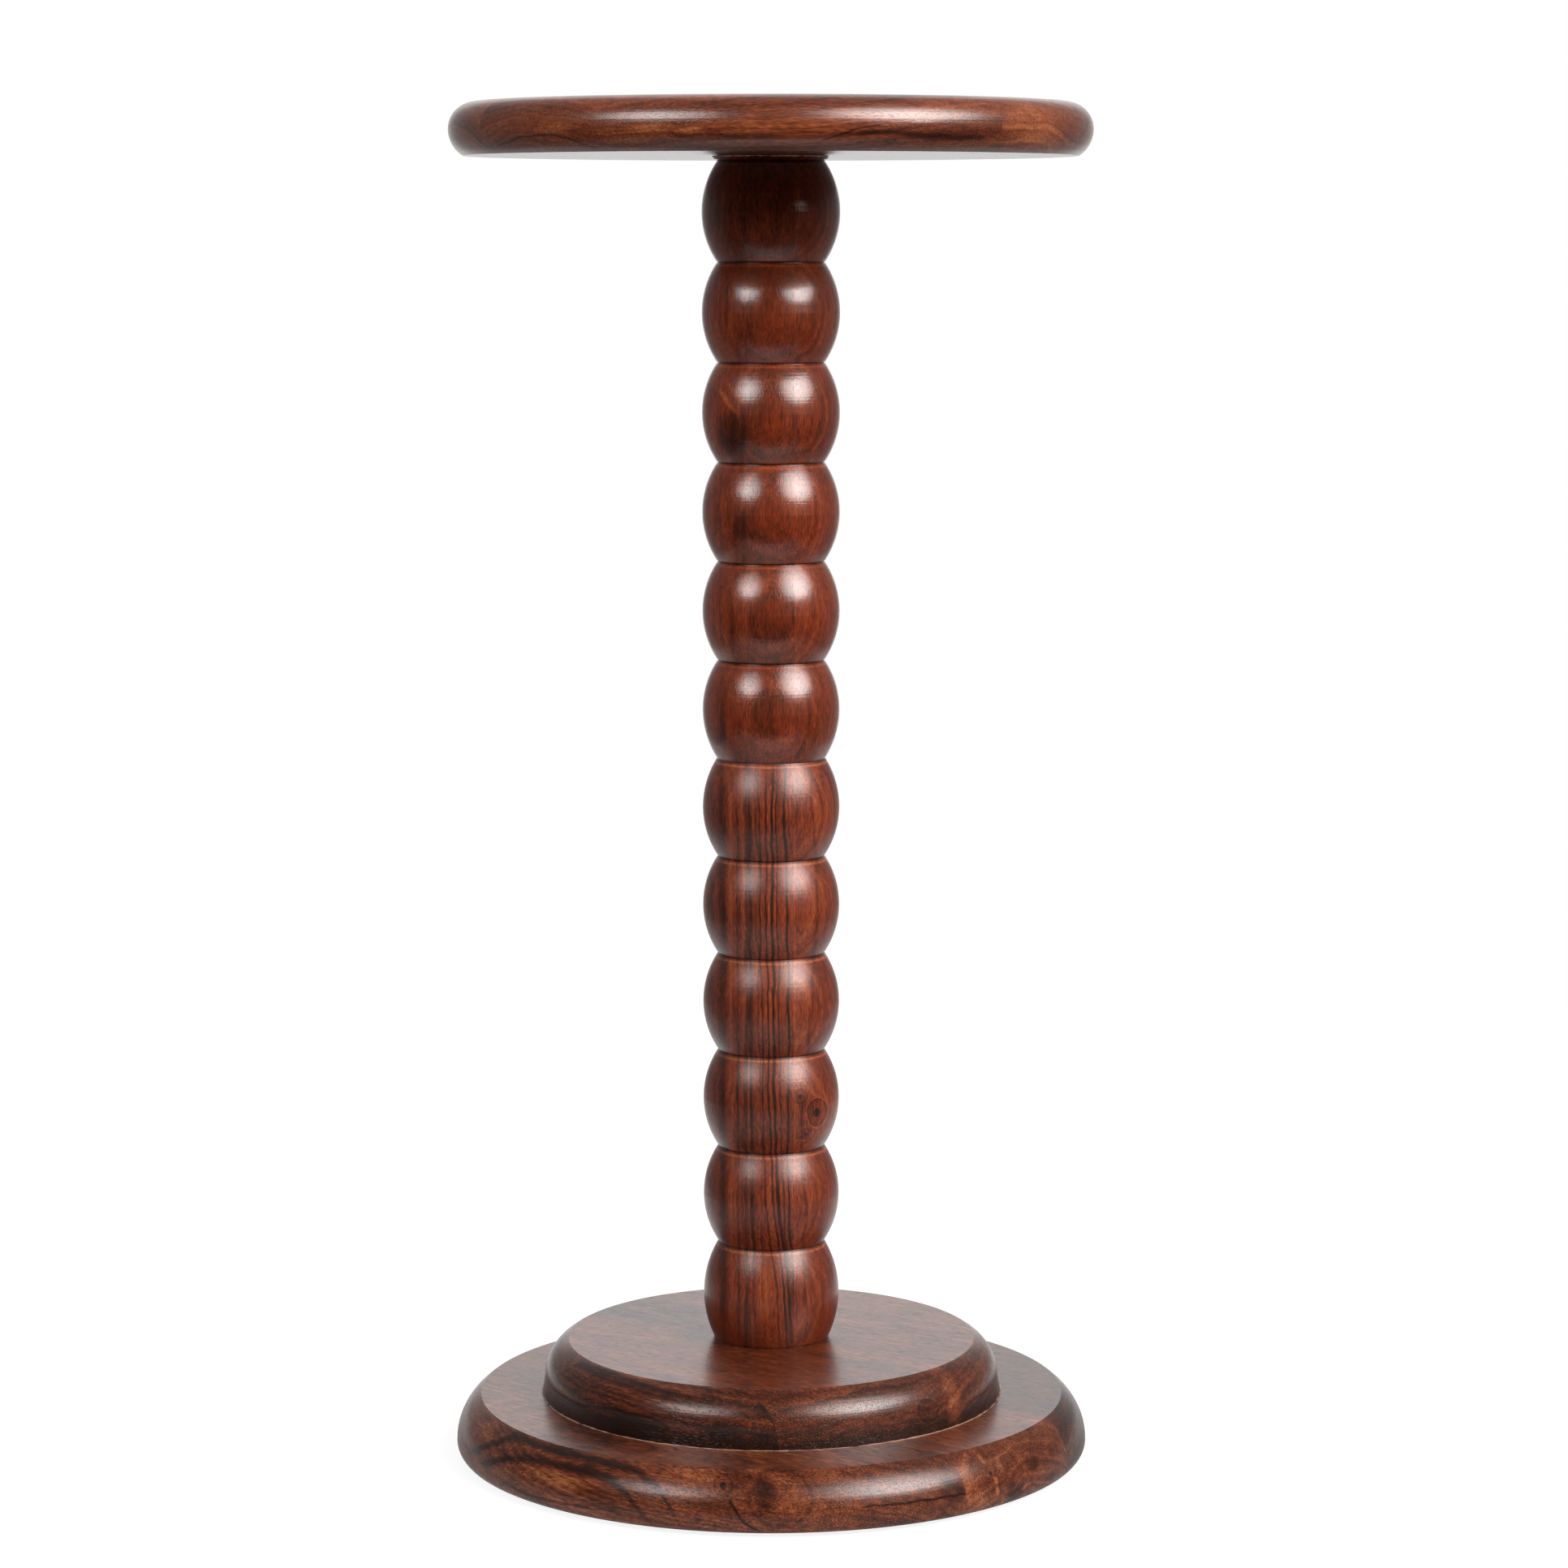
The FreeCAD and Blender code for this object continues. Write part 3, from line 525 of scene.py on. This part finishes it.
COLUMN_LOWER_BOARDS = (
    dict(pith=(16, 70, 0), lean=(0, 0.01, 0), seed=21.0, bands=0.14, lines=0.14, streaks=0.12,
         wander=3.0, streak_width=4.0, joints=((GLUE_PLANE, 0.5, 0.25),),
         growth=((-0.22, 1.5, ((56, 17), (100, 15.5), (125, 16.4), (150, 14.5), (180, 15))),
                 (-0.2, 1.3, ((190, 17), (240, 20), (285, 21.5), (335, 18)))),
         knots=(((21.6, -24, 168.8), (4.5, 50, 6), 0, 6.0, 1.0, 0.35),
                ((13.9, -28.8, 177.6), (3.2, 50, 3.6), 0, 4.0, 1.0, 0.3),
                ((16.3, -25.4, 159), (2.8, 50, 3), 0, 4.0, 0.8, 0.2))),
    dict(pith=(-320, 10, 0), lean=(-0.018, 0, 0), seed=22.0, tone=-0.01, bands=0.1, lines=0.16, streaks=0.0,
         line_width=1.5, wander=1.5, joints=((GLUE_PLANE, 0.4, 0.2),),
         growth=((-0.4, 0.8, ((50, 4.5), (80, 2.8), (125, -2.4), (217, -4.3), (342, -6.1))),
                 (-0.55, 0.8, ((50, 8), (80, 6.4), (125, 1.1), (217, -1.5), (342, -2.4))),
                 (-0.65, 1.1, ((50, 10), (80, 8.6), (125, 3.4), (217, 1.2), (342, 0.6))),
                 (-0.35, 0.7, ((70, 10.8), (100, 7.5), (125, 5.6), (217, 3.6), (342, 2.6))),
                 (-0.6, 0.9, ((75, 10.8), (125, 8.1), (217, 8.2), (342, 6.2))),
                 (-0.3, 1.3, ((90, -7.5), (125, -9.3), (217, -9.6), (342, -10.4)))),
         patches=(((-4, -32, 82), (5, 20, 24), 0, 0.22),)),
    dict(pith=(-320, -40, 0), seed=23.0, tone=-0.05, bands=0.1, lines=0.1, streaks=0.1,
         band_width=5.0, wander=2.0,
         growth=((-0.22, 2.8, ((50, -23), (342, -23.5))), (0.15, 1.6, ((50, -19), (342, -19.2))),
                 (-0.25, 1.0, ((50, -15.6), (342, -15.8))), (0.12, 1.2, ((50, -13), (342, -13))))),
)
# Turn of an oval on the foot that faces the front
OUTWARD = -FOOT_GRAIN_ANGLE
UPPER_TIER_BOARDS = (
    dict(pith=(-105, -60, 0), lean=(0, -0.1, 0), seed=31.0, tone=-0.14,
         growth=((-0.45, 1.4, ((-55, 34.5), (-28, 38.7), (3, 40.5), (12, 39), (18, 36), (21, 29))),
                 (-0.45, 1.3, ((54, 50), (60, 45), (64, 39), (65.4, 30))),
                 (-0.25, 0.9, ((48, 47), (55, 41), (58, 30)))),
         patches=(((-108, 35, -2), (30, 6, 26), 0, -0.3), ((-100, 36, 42), (30, 7, 14), 0, -0.3),
                  ((-92, 34, 59), (30, 6, 5), 0, -0.25), ((-96, 41, 52), (30, 5, 4), 0, 0.15),
                  ((-110, 44, 0), (30, 4, 20), 0, 0.12))),
    dict(pith=(-40, -90, 0), lean=(0, 0.05, 0), seed=32.0, tone=-0.1,
         knots=(((-24, 39.5, 105), (6, 5, 30), 0, 4.0, 0.3, 0.3),)),
    dict(pith=(30, -70, 0), lean=(0, 0.04, 0), seed=33.0, tone=-0.08,
         patches=(((-6, 42, 106), (8, 20, 40), 0, 0.3),)),
    dict(pith=(80, -80, 0), lean=(0, -0.03, 0), seed=34.0, tone=-0.08),
)
LOWER_TIER_BOARDS = (
    dict(pith=(-120, -110, 0), lean=(0, -0.157, 0), seed=41.0, tone=0.05,
         growth=((-0.5, 2.3, ((-90, 10.5), (-60, 23.5), (-43, 27), (9, 26.5), (28, 24), (40, 18),
                              (53, 2.5))),
                 (-0.5, 2.8, ((-76, 9), (-55, 17), (-37, 21), (3, 21.6), (17, 19), (25, 14.5), (38.5, 3))),
                 (-0.45, 1.1, ((-48, 7), (-20, 5.8), (6, 6.8))),
                 (-0.75, 1.3, ((69, 17), (75, 9.5), (82, 3.5))),
                 (-0.55, 0.8, ((116, 12.6), (131, 12.6), (144, 12)))),
         patches=(((-147, 16, -18), (20, 5.5, 27), 0, 0.25), ((-151, 6.7, -4), (20, 4.5, 24), 0, 0.2),
                  ((-132, 26, 50), (20, 4, 22), 0, 0.22), ((-123, 23.3, -77.5), (20, 5, 12), 0, 0.2),
                  ((-121.6, 18.5, 82.5), (30, 9.5, 6.5), OUTWARD, -0.33),
                  ((-116.5, 15.5, 91), (30, 15, 19), OUTWARD, 0.2),
                  ((-56, 14, 138), (9, 13, 30), 0, -0.3)),
         knots=(((-118.5, 17, 88), (30, 11.5, 13.7), OUTWARD, 5.0, 0.0, 0.2),
                ((-130.8, 22.8, 65), (20, 4.2, 4.2), OUTWARD, 4.0, 1.2, 0.25),
                ((-132.1, 18.4, 68.4), (20, 2.2, 2.2), OUTWARD, 2.0, 0.6, 0.1))),
    dict(pith=(-10, -80, 0), lean=(0, 0.08, 0), seed=42.0, tone=0.05,
         patches=(((-46, 13, 143), (12, 16, 30), 0, 0.3), ((-33.4, 24.3, 141), (1.6, 2.8, 9), 0, 0.4),
                  ((-30.6, 14.8, 147), (2.2, 2.6, 9), 0, 0.45), ((-30.6, 10, 148), (1.8, 3.2, 9), 0, 0.4),
                  ((-27.1, 4.9, 149), (1.5, 3, 9), 0, 0.3), ((-25, 20.3, 145.5), (3, 5, 30), 0, 0.2),
                  ((-2.2, 17.1, 149.3), (8, 4.5, 30), 0, -0.32),
                  ((-18.9, 7.4, 150.3), (7.5, 6, 30), 0, -0.32),
                  ((12.1, 7, 151), (9, 3.5, 30), 0, -0.32)),
         knots=(((-32.2, 18, 145.4), (3, 3, 30), 0, 4.0, 0.9, 0.1),)),
    dict(pith=(70, -90, 0), lean=(0, 0.05, 0), seed=43.0, tone=-0.2),
    dict(pith=(130, -70, 0), lean=(0, 0.03, 0), seed=44.0, tone=-0.04),
)
# Each groove is painted darker, and the turned edge just under it paler
UPPER_GROOVES = ((-1.5, 0.7, 0.25), (0.0, 0.8, -0.3))
LOWER_GROOVES = ((-1.6, 0.8, 0.5), (0.0, 0.8, -0.3))
# The upper tier's wall is painted darker towards its foot
TIER_WALL_FOOT_DARKENING = (TIER_JOINT_HEIGHT + 11.0, TIER_JOINT_HEIGHT + 1.0, -0.35)
# Its flat face, of long grain, is painted paler: partly painted light from above, partly less stain taken
# up
UPPER_FACE_LIGHT_AND_STAIN = (UPPER_TIER_TOP - 0.7, UPPER_TIER_TOP - 0.1, 0.1)


class TABLE_OT_top(bpy.types.Operator):
    """Finishes the six boards of the table top"""
    bl_idname = "table.top"
    bl_label = "Table top"

    def execute(self, context):
        wood = context.scene.table_wood
        dress_boards("top_board", TOP_BOARDS, wood.top_lacquer, TOP_GRAIN_ANGLE, brown=0.85, relief=0.4)
        return {"FINISHED"}


class TABLE_OT_column(bpy.types.Operator):
    """Finishes the boards of both halves of the column"""
    bl_idname = "table.column"
    bl_label = "Column"

    def execute(self, context):
        wood = context.scene.table_wood
        dress_boards("column_upper_board", COLUMN_UPPER_BOARDS, wood.upper_lacquer, level_axis=0,
                     grooves=UPPER_GROOVES, bands=0.08, lines=0.1, streaks=0.0, fleck=0.18)
        dress_boards("column_lower_board", COLUMN_LOWER_BOARDS, wood.lower_lacquer, level_axis=0,
                     grooves=LOWER_GROOVES, coat=0.8)
        return {"FINISHED"}


class TABLE_OT_foot(bpy.types.Operator):
    """Finishes the boards of both tiers of the foot"""
    bl_idname = "table.foot"
    bl_label = "Foot"

    def execute(self, context):
        wood = context.scene.table_wood
        foot = dict(angle=FOOT_GRAIN_ANGLE, pores=0.7, bands=0.14, lines=0.18, streaks=0.15, mottle=0.18,
                    fleck=0.3)
        dress_boards("upper_tier_board", UPPER_TIER_BOARDS, wood.upper_tier_lacquer, brown=0.85, coat=0.9,
                     glow=0.3, relief=0.45, stains=(TIER_WALL_FOOT_DARKENING, UPPER_FACE_LIGHT_AND_STAIN), **foot)
        dress_boards("lower_tier_board", LOWER_TIER_BOARDS, wood.lower_tier_lacquer, brown=1.0, coat=0.85,
                     glow=0.2, relief=0.3, **foot)
        return {"FINISHED"}


# Glue lines: name, radius, height and half thickness in millimetres, seed and material slot
GLUE_LINES = (
    ("glue_line_top", COLLAR_RADIUS, TOP_UNDERSIDE, 0.45, 5, "top_wood"),
    ("glue_line_foot", TIER_WALL_RADIUS, TIER_JOINT_HEIGHT, 0.32, 6, "foot_wood"),
)
GLUE_STEPS = 480
GLUE_SIDES = 10
# Counts round the table of the waves that swell a line of glue, the height of each, and the least
# and most that they leave of its thickness
GLUE_WAVES = np.array((3, 7, 13, 29, 53, 97))
GLUE_SWELL = 0.16
GLUE_LIMITS = (0.25, 1.7)
# Size in millimetres of the patches of stain on the glue
GLUE_PATCH = 6.0


def glue_bead(name, radius, height, thickness, seed):
    """A bead of dried glue in a corner: a small circle carried round the table's axis, its size
    swelling and thinning by a sum of sines of the turn."""
    turn = np.linspace(0, 2 * np.pi, GLUE_STEPS, endpoint=False)[:, None]
    section = np.linspace(0, 2 * np.pi, GLUE_SIDES, endpoint=False)[None, :]
    starts = np.random.default_rng(seed).uniform(0, 2 * np.pi, len(GLUE_WAVES))
    swell = 1 + GLUE_SWELL * np.sin(turn[..., None] * GLUE_WAVES + starts).sum(axis=-1)
    size = thickness * np.clip(swell, *GLUE_LIMITS)
    out = radius + size * np.cos(section)
    rise = height + size * np.sin(section)
    points = np.stack([out * np.cos(turn), out * np.sin(turn), rise], axis=-1) * MM
    here = np.arange(GLUE_STEPS * GLUE_SIDES).reshape(GLUE_STEPS, GLUE_SIDES)
    onward = np.roll(here, -1, axis=0)
    faces = np.stack([here, onward, np.roll(onward, -1, axis=1), np.roll(here, -1, axis=1)], axis=-1)
    made = new_object(name, points.reshape(-1, 3).tolist(), faces.reshape(-1, 4).tolist())
    made.data.shade_smooth()
    return made


class TABLE_OT_glue(bpy.types.Operator):
    """Makes the lines of dried glue under the top and round the upper tier's foot"""
    bl_idname = "table.glue"
    bl_label = "Glue lines"

    def execute(self, context):
        wood = context.scene.table_wood
        # Dried wood glue, pressed out of a joint and wiped: pale, waxy and patchy with stain
        paint, add = blank_material("dried wood glue")
        place = add("TexCoord", out="Object")
        patch = add("TexNoise", {"Vector": place, "Scale": PER_MM / GLUE_PATCH, "Detail": 3.0})
        stained = add("MapRange", {"Value": patch, "From Min": 0.5, "From Max": 0.7})
        shade = add("Mix", {0: stained, 6: wood.glue, 7: wood.disc_dark}, out=2, data_type="RGBA")
        bump = add("Bump", {"Height": patch, "Strength": 0.3, "Distance": 0.1 * MM})
        rough = add("MapRange", {"Value": patch, "To Min": 0.35, "To Max": 0.6})
        shader = add("BsdfPrincipled", {"Base Color": shade, "Roughness": rough, "Normal": bump})
        add("OutputMaterial", {"Surface": shader}, out=None)
        for name, radius, height, thickness, seed, slot in GLUE_LINES:
            made = glue_bead(name, radius, height, thickness, seed)
            made.data.materials.append(paint)
            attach(made, "root")
        return {"FINISHED"}


# How far a metal's grain takes its roughness up and down
METAL_SPREAD = 0.12


def plated_metal(name, shade, roughness, grit):
    """Metal whose fine grain, of a given size in millimetres, varies its roughness and height."""
    made, add = blank_material(name)
    place = add("TexCoord", out="Object")
    grain = add("TexNoise", {"Vector": place, "Scale": PER_MM / grit, "Detail": 3.0})
    low, high = roughness - METAL_SPREAD, roughness + METAL_SPREAD
    rough = add("MapRange", {"Value": grain, "To Min": low, "To Max": high})
    tint = add("MapRange", {"Value": grain, "To Min": 0.75, "To Max": 1.15})
    tinted = add("VectorMath", {0: shade[:3], "Scale": tint}, operation="SCALE")
    bump = add("Bump", {"Height": grain, "Strength": 0.2, "Distance": 0.05 * MM})
    shader = add("BsdfPrincipled",
                 {"Base Color": tinted, "Metallic": 1.0, "Roughness": rough, "Normal": bump})
    add("OutputMaterial", {"Surface": shader}, out=None)
    return made


class TABLE_OT_fittings(bpy.types.Operator):
    """Finishes the screws, the bolt, the washer, the stud and the inserts"""
    bl_idname = "table.fittings"
    bl_label = "Fastenings"

    def execute(self, context):
        fittings = context.scene.table_fittings
        # Zinc-plated steel: cool grey with a fine satin grain, drawn at 0.8 mm so that it shows
        zinc = plated_metal("zinc-plated steel", fittings.zinc, roughness=0.36, grit=0.8)
        # Turned brass: warm yellow, a little shinier than the plating, its grain drawn at 0.5 mm so
        # that it shows
        brass = plated_metal("turned brass", fittings.brass, roughness=0.3, grit=0.5)
        screws = [f"tier_screw_{count}" for count in range(1, 5)]
        for name in ("foot_bolt", "foot_washer", "joint_stud", *screws):
            wear(name, zinc)
        for name in ("foot_insert", "joint_insert_upper", "joint_insert_lower"):
            wear(name, brass)
        return {"FINISHED"}


FELT_STEPS = 96
FELT_RIM_POINTS = 13
# Depth of the ripple in a felt disc's edge as a share of its radius, and the counts of its sines
FELT_RIPPLE = 0.012
FELT_RIPPLE_COUNTS = (7, 23)


def felt_disc(name, node_name, edge):
    """A felt disc in the box of its CAD node: a section turned about the disc's own axis. The rim's
    section is half an ellipse, as deep as the rounding of the edge, and its radius ripples inwards
    by a product of sines of the turn. A fan of faces closes each flat side at a point in the middle."""
    low, high = (np.array(corner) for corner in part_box(node_name))
    middle, half = 0.5 * (low + high), 0.5 * (high - low)
    turn = np.linspace(0, 2 * np.pi, FELT_STEPS, endpoint=False)[:, None]
    bend = np.linspace(-0.5 * np.pi, 0.5 * np.pi, FELT_RIM_POINTS)[None, :]
    slow, fast = FELT_RIPPLE_COUNTS
    ripple = 1 - FELT_RIPPLE * (1 + np.sin(slow * turn) * np.sin(fast * turn))
    out = ripple * (half[0] - edge + edge * np.cos(bend))
    rise = half[2] * np.sin(bend) * np.ones_like(turn)
    rim = middle + np.stack([out * np.cos(turn), out * np.sin(turn), rise], axis=-1)
    poles = middle + np.array([[0, 0, -half[2]], [0, 0, half[2]]])
    here = np.arange(rim[..., 0].size).reshape(rim.shape[:2])
    onward = np.roll(here, -1, axis=0)
    strips = np.stack([here[:, :-1], onward[:, :-1], onward[:, 1:], here[:, 1:]], axis=-1).reshape(-1, 4)
    below = np.stack([np.full(len(here), here.size), onward[:, 0], here[:, 0]], axis=-1)
    above = np.stack([np.full(len(here), here.size + 1), here[:, -1], onward[:, -1]], axis=-1)
    points = np.vstack([rim.reshape(-1, 3), poles])
    return new_object(name, points.tolist(), strips.tolist() + below.tolist() + above.tolist())


class TABLE_OT_felt(bpy.types.Operator):
    """Makes the felt pads under the foot"""
    bl_idname = "table.felt"
    bl_label = "Felt pads"

    def execute(self, context):
        fittings = context.scene.table_fittings
        # Pressed wool felt: matt, with a tangle of short fibres, drawn as coarse as it needs to show
        paint, add = blank_material("pressed wool felt")
        place = add("TexCoord", out="Object")
        fibre = add("TexNoise",
                    {"Vector": place, "Scale": 1 / fittings.felt_fibre, "Detail": 4.0, "Distortion": 1.5})
        tint = add("MapRange", {"Value": fibre, "To Min": 0.5, "To Max": 1.4})
        shade = add("VectorMath", {0: fittings.felt[:3], "Scale": tint}, operation="SCALE")
        bump = add("Bump", {"Height": fibre, "Strength": 0.8, "Distance": 0.3 * MM})
        rough = add("MapRange", {"Value": fibre, "To Min": 0.85, "To Max": 1.0})
        shader = add("BsdfPrincipled",
                     {"Base Color": shade, "Roughness": rough, "Sheen Weight": 0.4, "Normal": bump})
        add("OutputMaterial", {"Surface": shader}, out=None)
        for count in range(1, 5):
            made = felt_disc(f"felt_disc_{count}", f"felt_pad_{count}", fittings.felt_edge)
            made.data.materials.append(paint)
            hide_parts(f"felt_pad_{count}")
            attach(made, "root")
        return {"FINISHED"}


WHITE = grey(1.0)
# How bright gloss sees the floor at distances in metres behind the column, and at its front edge.
# To the sides it fades to half that.
FLOOR_GLOSS = ((-0.25, 0.48), (0.0, 0.34), (0.25, 1.0))
FLOOR_FRONT_GLOSS = 0.75
FLOOR_SIDE_FADE = {"From Min": 0.45, "From Max": 0.1, "To Min": 0.5}
# The floor as the eye sees it: what it adds by itself, and what the lamps and shadows add
FLOOR_GLOW = 0.87
FLOOR_SHADE = "7C7C7C"
# The floor as the table's diffuse light sees it
FLOOR_BOUNCE = "EDEDED"
# How bright gloss sees the surroundings, from straight in front, 0, to straight behind, 1, and
# what is taken off at the sides
BACKDROP_GLOSS = ((0.32, 0.0), (0.5, 0.16), (0.7, 0.22), (0.885, 0.25), (0.965, 0.32), (0.99, 0.98))
SIDE_GLOSS = {"From Min": 0.3, "From Max": 0.8, "To Max": -0.1}
# Least level run of a direction, so that gloss straight up or down doesn't swing from front to back
LEAST_RUN = 0.6
# Diffuse light from front to back, from the level up, and its share to the sides
BACK_LIGHT = {"From Min": -0.2, "From Max": 1.0, "To Min": 0.05, "To Max": 0.65}
TOP_LIGHT = {"From Min": 0.4, "From Max": 1.0, "To Max": 0.5}
SIDE_LIGHT = 0.15


def seen_directly(add):
    """1 where a ray comes straight from the camera, or through glass."""
    path = add("LightPath", out=None).outputs
    return maths(add, "MAXIMUM", path["Is Camera Ray"], path["Is Transmission Ray"])


def floor(studio):
    """White sheet under and behind the table, which shows white and keeps the table's soft shadow.
    Gloss sees it white behind the table, and dimmer in front and at the sides."""
    side, low = 0.5 * studio.floor_width, -studio.floor_drop
    front, back = -studio.floor_front, studio.floor_back
    corners = [(-side, front, low), (side, front, low), (side, back, low), (-side, back, low)]
    made = new_object("studio_floor", corners, [(0, 1, 2, 3)])
    paint, add = blank_material("white studio floor")
    place = add("TexCoord", out="Object")
    axes = add("SeparateXYZ", {0: place}, out=None).outputs
    sideways = maths(add, "ABSOLUTE", axes[0])
    near = add("MapRange", {"Value": sideways, **FLOOR_SIDE_FADE}, **EASED)
    depth = add("MapRange", {"Value": axes[1], "From Min": front, "From Max": back})
    mirror = add("ValToRGB", {0: depth}, out=None)
    stops = ((front, FLOOR_FRONT_GLOSS), *FLOOR_GLOSS)
    fill_ramp(mirror.color_ramp, [((spot - front) / (back - front), grey(light)) for spot, light in stops])
    faded = maths(add, "MULTIPLY", mirror.outputs[0], near)
    glossy = add("LightPath", out="Is Glossy Ray")
    plain = add("BsdfDiffuse", {"Color": linear(FLOOR_BOUNCE)})
    mirrored = add("Emission", {"Color": WHITE, "Strength": faded})
    around = add("MixShader", {0: glossy, 1: plain, 2: mirrored})
    soft = add("BsdfDiffuse", {"Color": linear(FLOOR_SHADE)})
    glow = add("Emission", {"Color": WHITE, "Strength": FLOOR_GLOW})
    white = add("AddShader", {0: soft, 1: glow})
    both = add("MixShader", {0: seen_directly(add), 1: around, 2: white})
    add("OutputMaterial", {"Surface": both}, out=None)
    made.data.materials.append(paint)


def softbox(name, azimuth, elevation, width, power, studio):
    """Oval lamp that faces the table, at an azimuth to the right of the camera. Its light fades
    to nothing at its rim."""
    aim = Vector((0, 0, studio.softbox_aim))
    level = Vector((math.sin(azimuth), -math.cos(azimuth), 0))
    away = level * math.cos(elevation) + Vector((0, 0, math.sin(elevation)))
    lamp = bpy.data.lights.new(name, "AREA")
    lamp.shape = "ELLIPSE"
    lamp.size = width
    lamp.size_y = studio.softbox_height * width
    lamp.spread = 2 * math.atan2(0.5 * width, studio.softbox_distance)
    lamp.energy = power
    made = bpy.data.objects.new(name, lamp)
    made.location = aim + away * studio.softbox_distance
    made.rotation_mode = "QUATERNION"
    made.rotation_quaternion = away.to_track_quat("Z", "Y")
    made.visible_camera = False
    bpy.context.scene.collection.objects.link(made)


def surroundings(scene):
    """White to the eye all round. Gloss sees the white backdrop behind the table, fading to a dark
    studio in front, and the diffuse light is dim in front, and fuller behind and above."""
    world = bpy.data.worlds.new("studio")
    scene.world = world
    world.use_nodes = True
    world.node_tree.nodes.clear()
    add = partial(node, world.node_tree)
    glossy = add("LightPath", out="Is Glossy Ray")
    way = add("SeparateXYZ", {0: add("TexCoord")}, out=None).outputs
    level = add("CombineXYZ", {0: way[0], 1: way[1]})
    run = add("VectorMath", {0: level}, out=1, operation="LENGTH")
    widened = maths(add, "MAXIMUM", run, LEAST_RUN)
    behind = maths(add, "DIVIDE", way[1], widened)
    round_about = add("MapRange", {"Value": behind, "From Min": -1.0, "From Max": 1.0})
    mirror = add("ValToRGB", {0: round_about}, out=None)
    fill_ramp(mirror.color_ramp, [(place, grey(light)) for place, light in BACKDROP_GLOSS])
    sideways = maths(add, "ABSOLUTE", way[0])
    side = add("MapRange", {"Value": sideways, **SIDE_GLOSS}, **EASED)
    gloss = maths(add, "ADD", mirror.outputs[0], side, use_clamp=True)
    soft = add("MapRange", {"Value": way[1], **BACK_LIGHT})
    above = add("MapRange", {"Value": way[2], **TOP_LIGHT})
    beside = maths(add, "MULTIPLY_ADD", sideways, SIDE_LIGHT, above)
    soft = maths(add, "ADD", soft, beside)
    lit = add("Mix", {0: glossy, 2: soft, 3: gloss}, data_type="FLOAT")
    strength = add("Mix", {0: seen_directly(add), 2: lit, 3: 1.0}, data_type="FLOAT")
    sky = add("Background", {"Color": WHITE, "Strength": strength})
    add("OutputWorld", {"Surface": sky}, out=None)


def camera(scene, studio):
    """Camera at the photograph's place: in front, above the table's middle, looking down a little."""
    lens = bpy.data.cameras.new("photograph")
    lens.sensor_width = studio.sensor
    lens.lens = studio.lens
    made = bpy.data.objects.new("photograph", lens)
    made.location = (0, -studio.camera_distance, studio.camera_height)
    made.rotation_euler = (math.pi / 2 - studio.camera_pitch, 0, -studio.camera_yaw)
    scene.collection.objects.link(made)
    scene.camera = made


class TABLE_OT_studio(bpy.types.Operator):
    """Makes the white floor, the softboxes, the surroundings and the camera"""
    bl_idname = "table.studio"
    bl_label = "Studio"

    def execute(self, context):
        studio = context.scene.table_studio
        floor(studio)
        softbox("right softbox", studio.key_azimuth, studio.key_elevation, studio.key_width,
                studio.key_power, studio)
        softbox("left softbox", studio.fill_azimuth, studio.fill_elevation, studio.fill_width,
                studio.fill_power, studio)
        surroundings(context.scene)
        camera(context.scene, studio)
        context.scene.view_settings.view_transform = "Standard"
        return {"FINISHED"}


class TABLE_PT_sidebar(bpy.types.Panel):
    """Lists the steps that dress the table"""
    bl_idname = "TABLE_PT_sidebar"
    bl_label = "Side table"
    bl_space_type = "VIEW_3D"
    bl_region_type = "UI"
    bl_category = "Side table"

    def draw(self, context):
        for operator in OPERATORS:
            self.layout.operator(operator.bl_idname)


OPERATORS = (TABLE_OT_top, TABLE_OT_column, TABLE_OT_foot, TABLE_OT_glue, TABLE_OT_fittings, TABLE_OT_felt,
             TABLE_OT_studio)
SETTINGS = {"table_wood": TableWoodSettings, "table_fittings": TableFittingSettings,
            "table_studio": TableStudioSettings}
CLASSES = (*SETTINGS.values(), *OPERATORS, TABLE_PT_sidebar)


def register():
    """Adds the classes and their settings to Blender."""
    for item in CLASSES:
        bpy.utils.register_class(item)
    for name, group in SETTINGS.items():
        setattr(bpy.types.Scene, name, PointerProperty(type=group))


def unregister():
    """Takes the classes and their settings out again."""
    for name in SETTINGS:
        delattr(bpy.types.Scene, name)
    for item in reversed(CLASSES):
        bpy.utils.unregister_class(item)


def main():
    """Dresses the table."""
    register()
    bpy.ops.table.top()
    bpy.ops.table.column()
    bpy.ops.table.foot()
    bpy.ops.table.glue()
    bpy.ops.table.fittings()
    bpy.ops.table.felt()
    bpy.ops.table.studio()


if __name__ == "__main__":
    main()
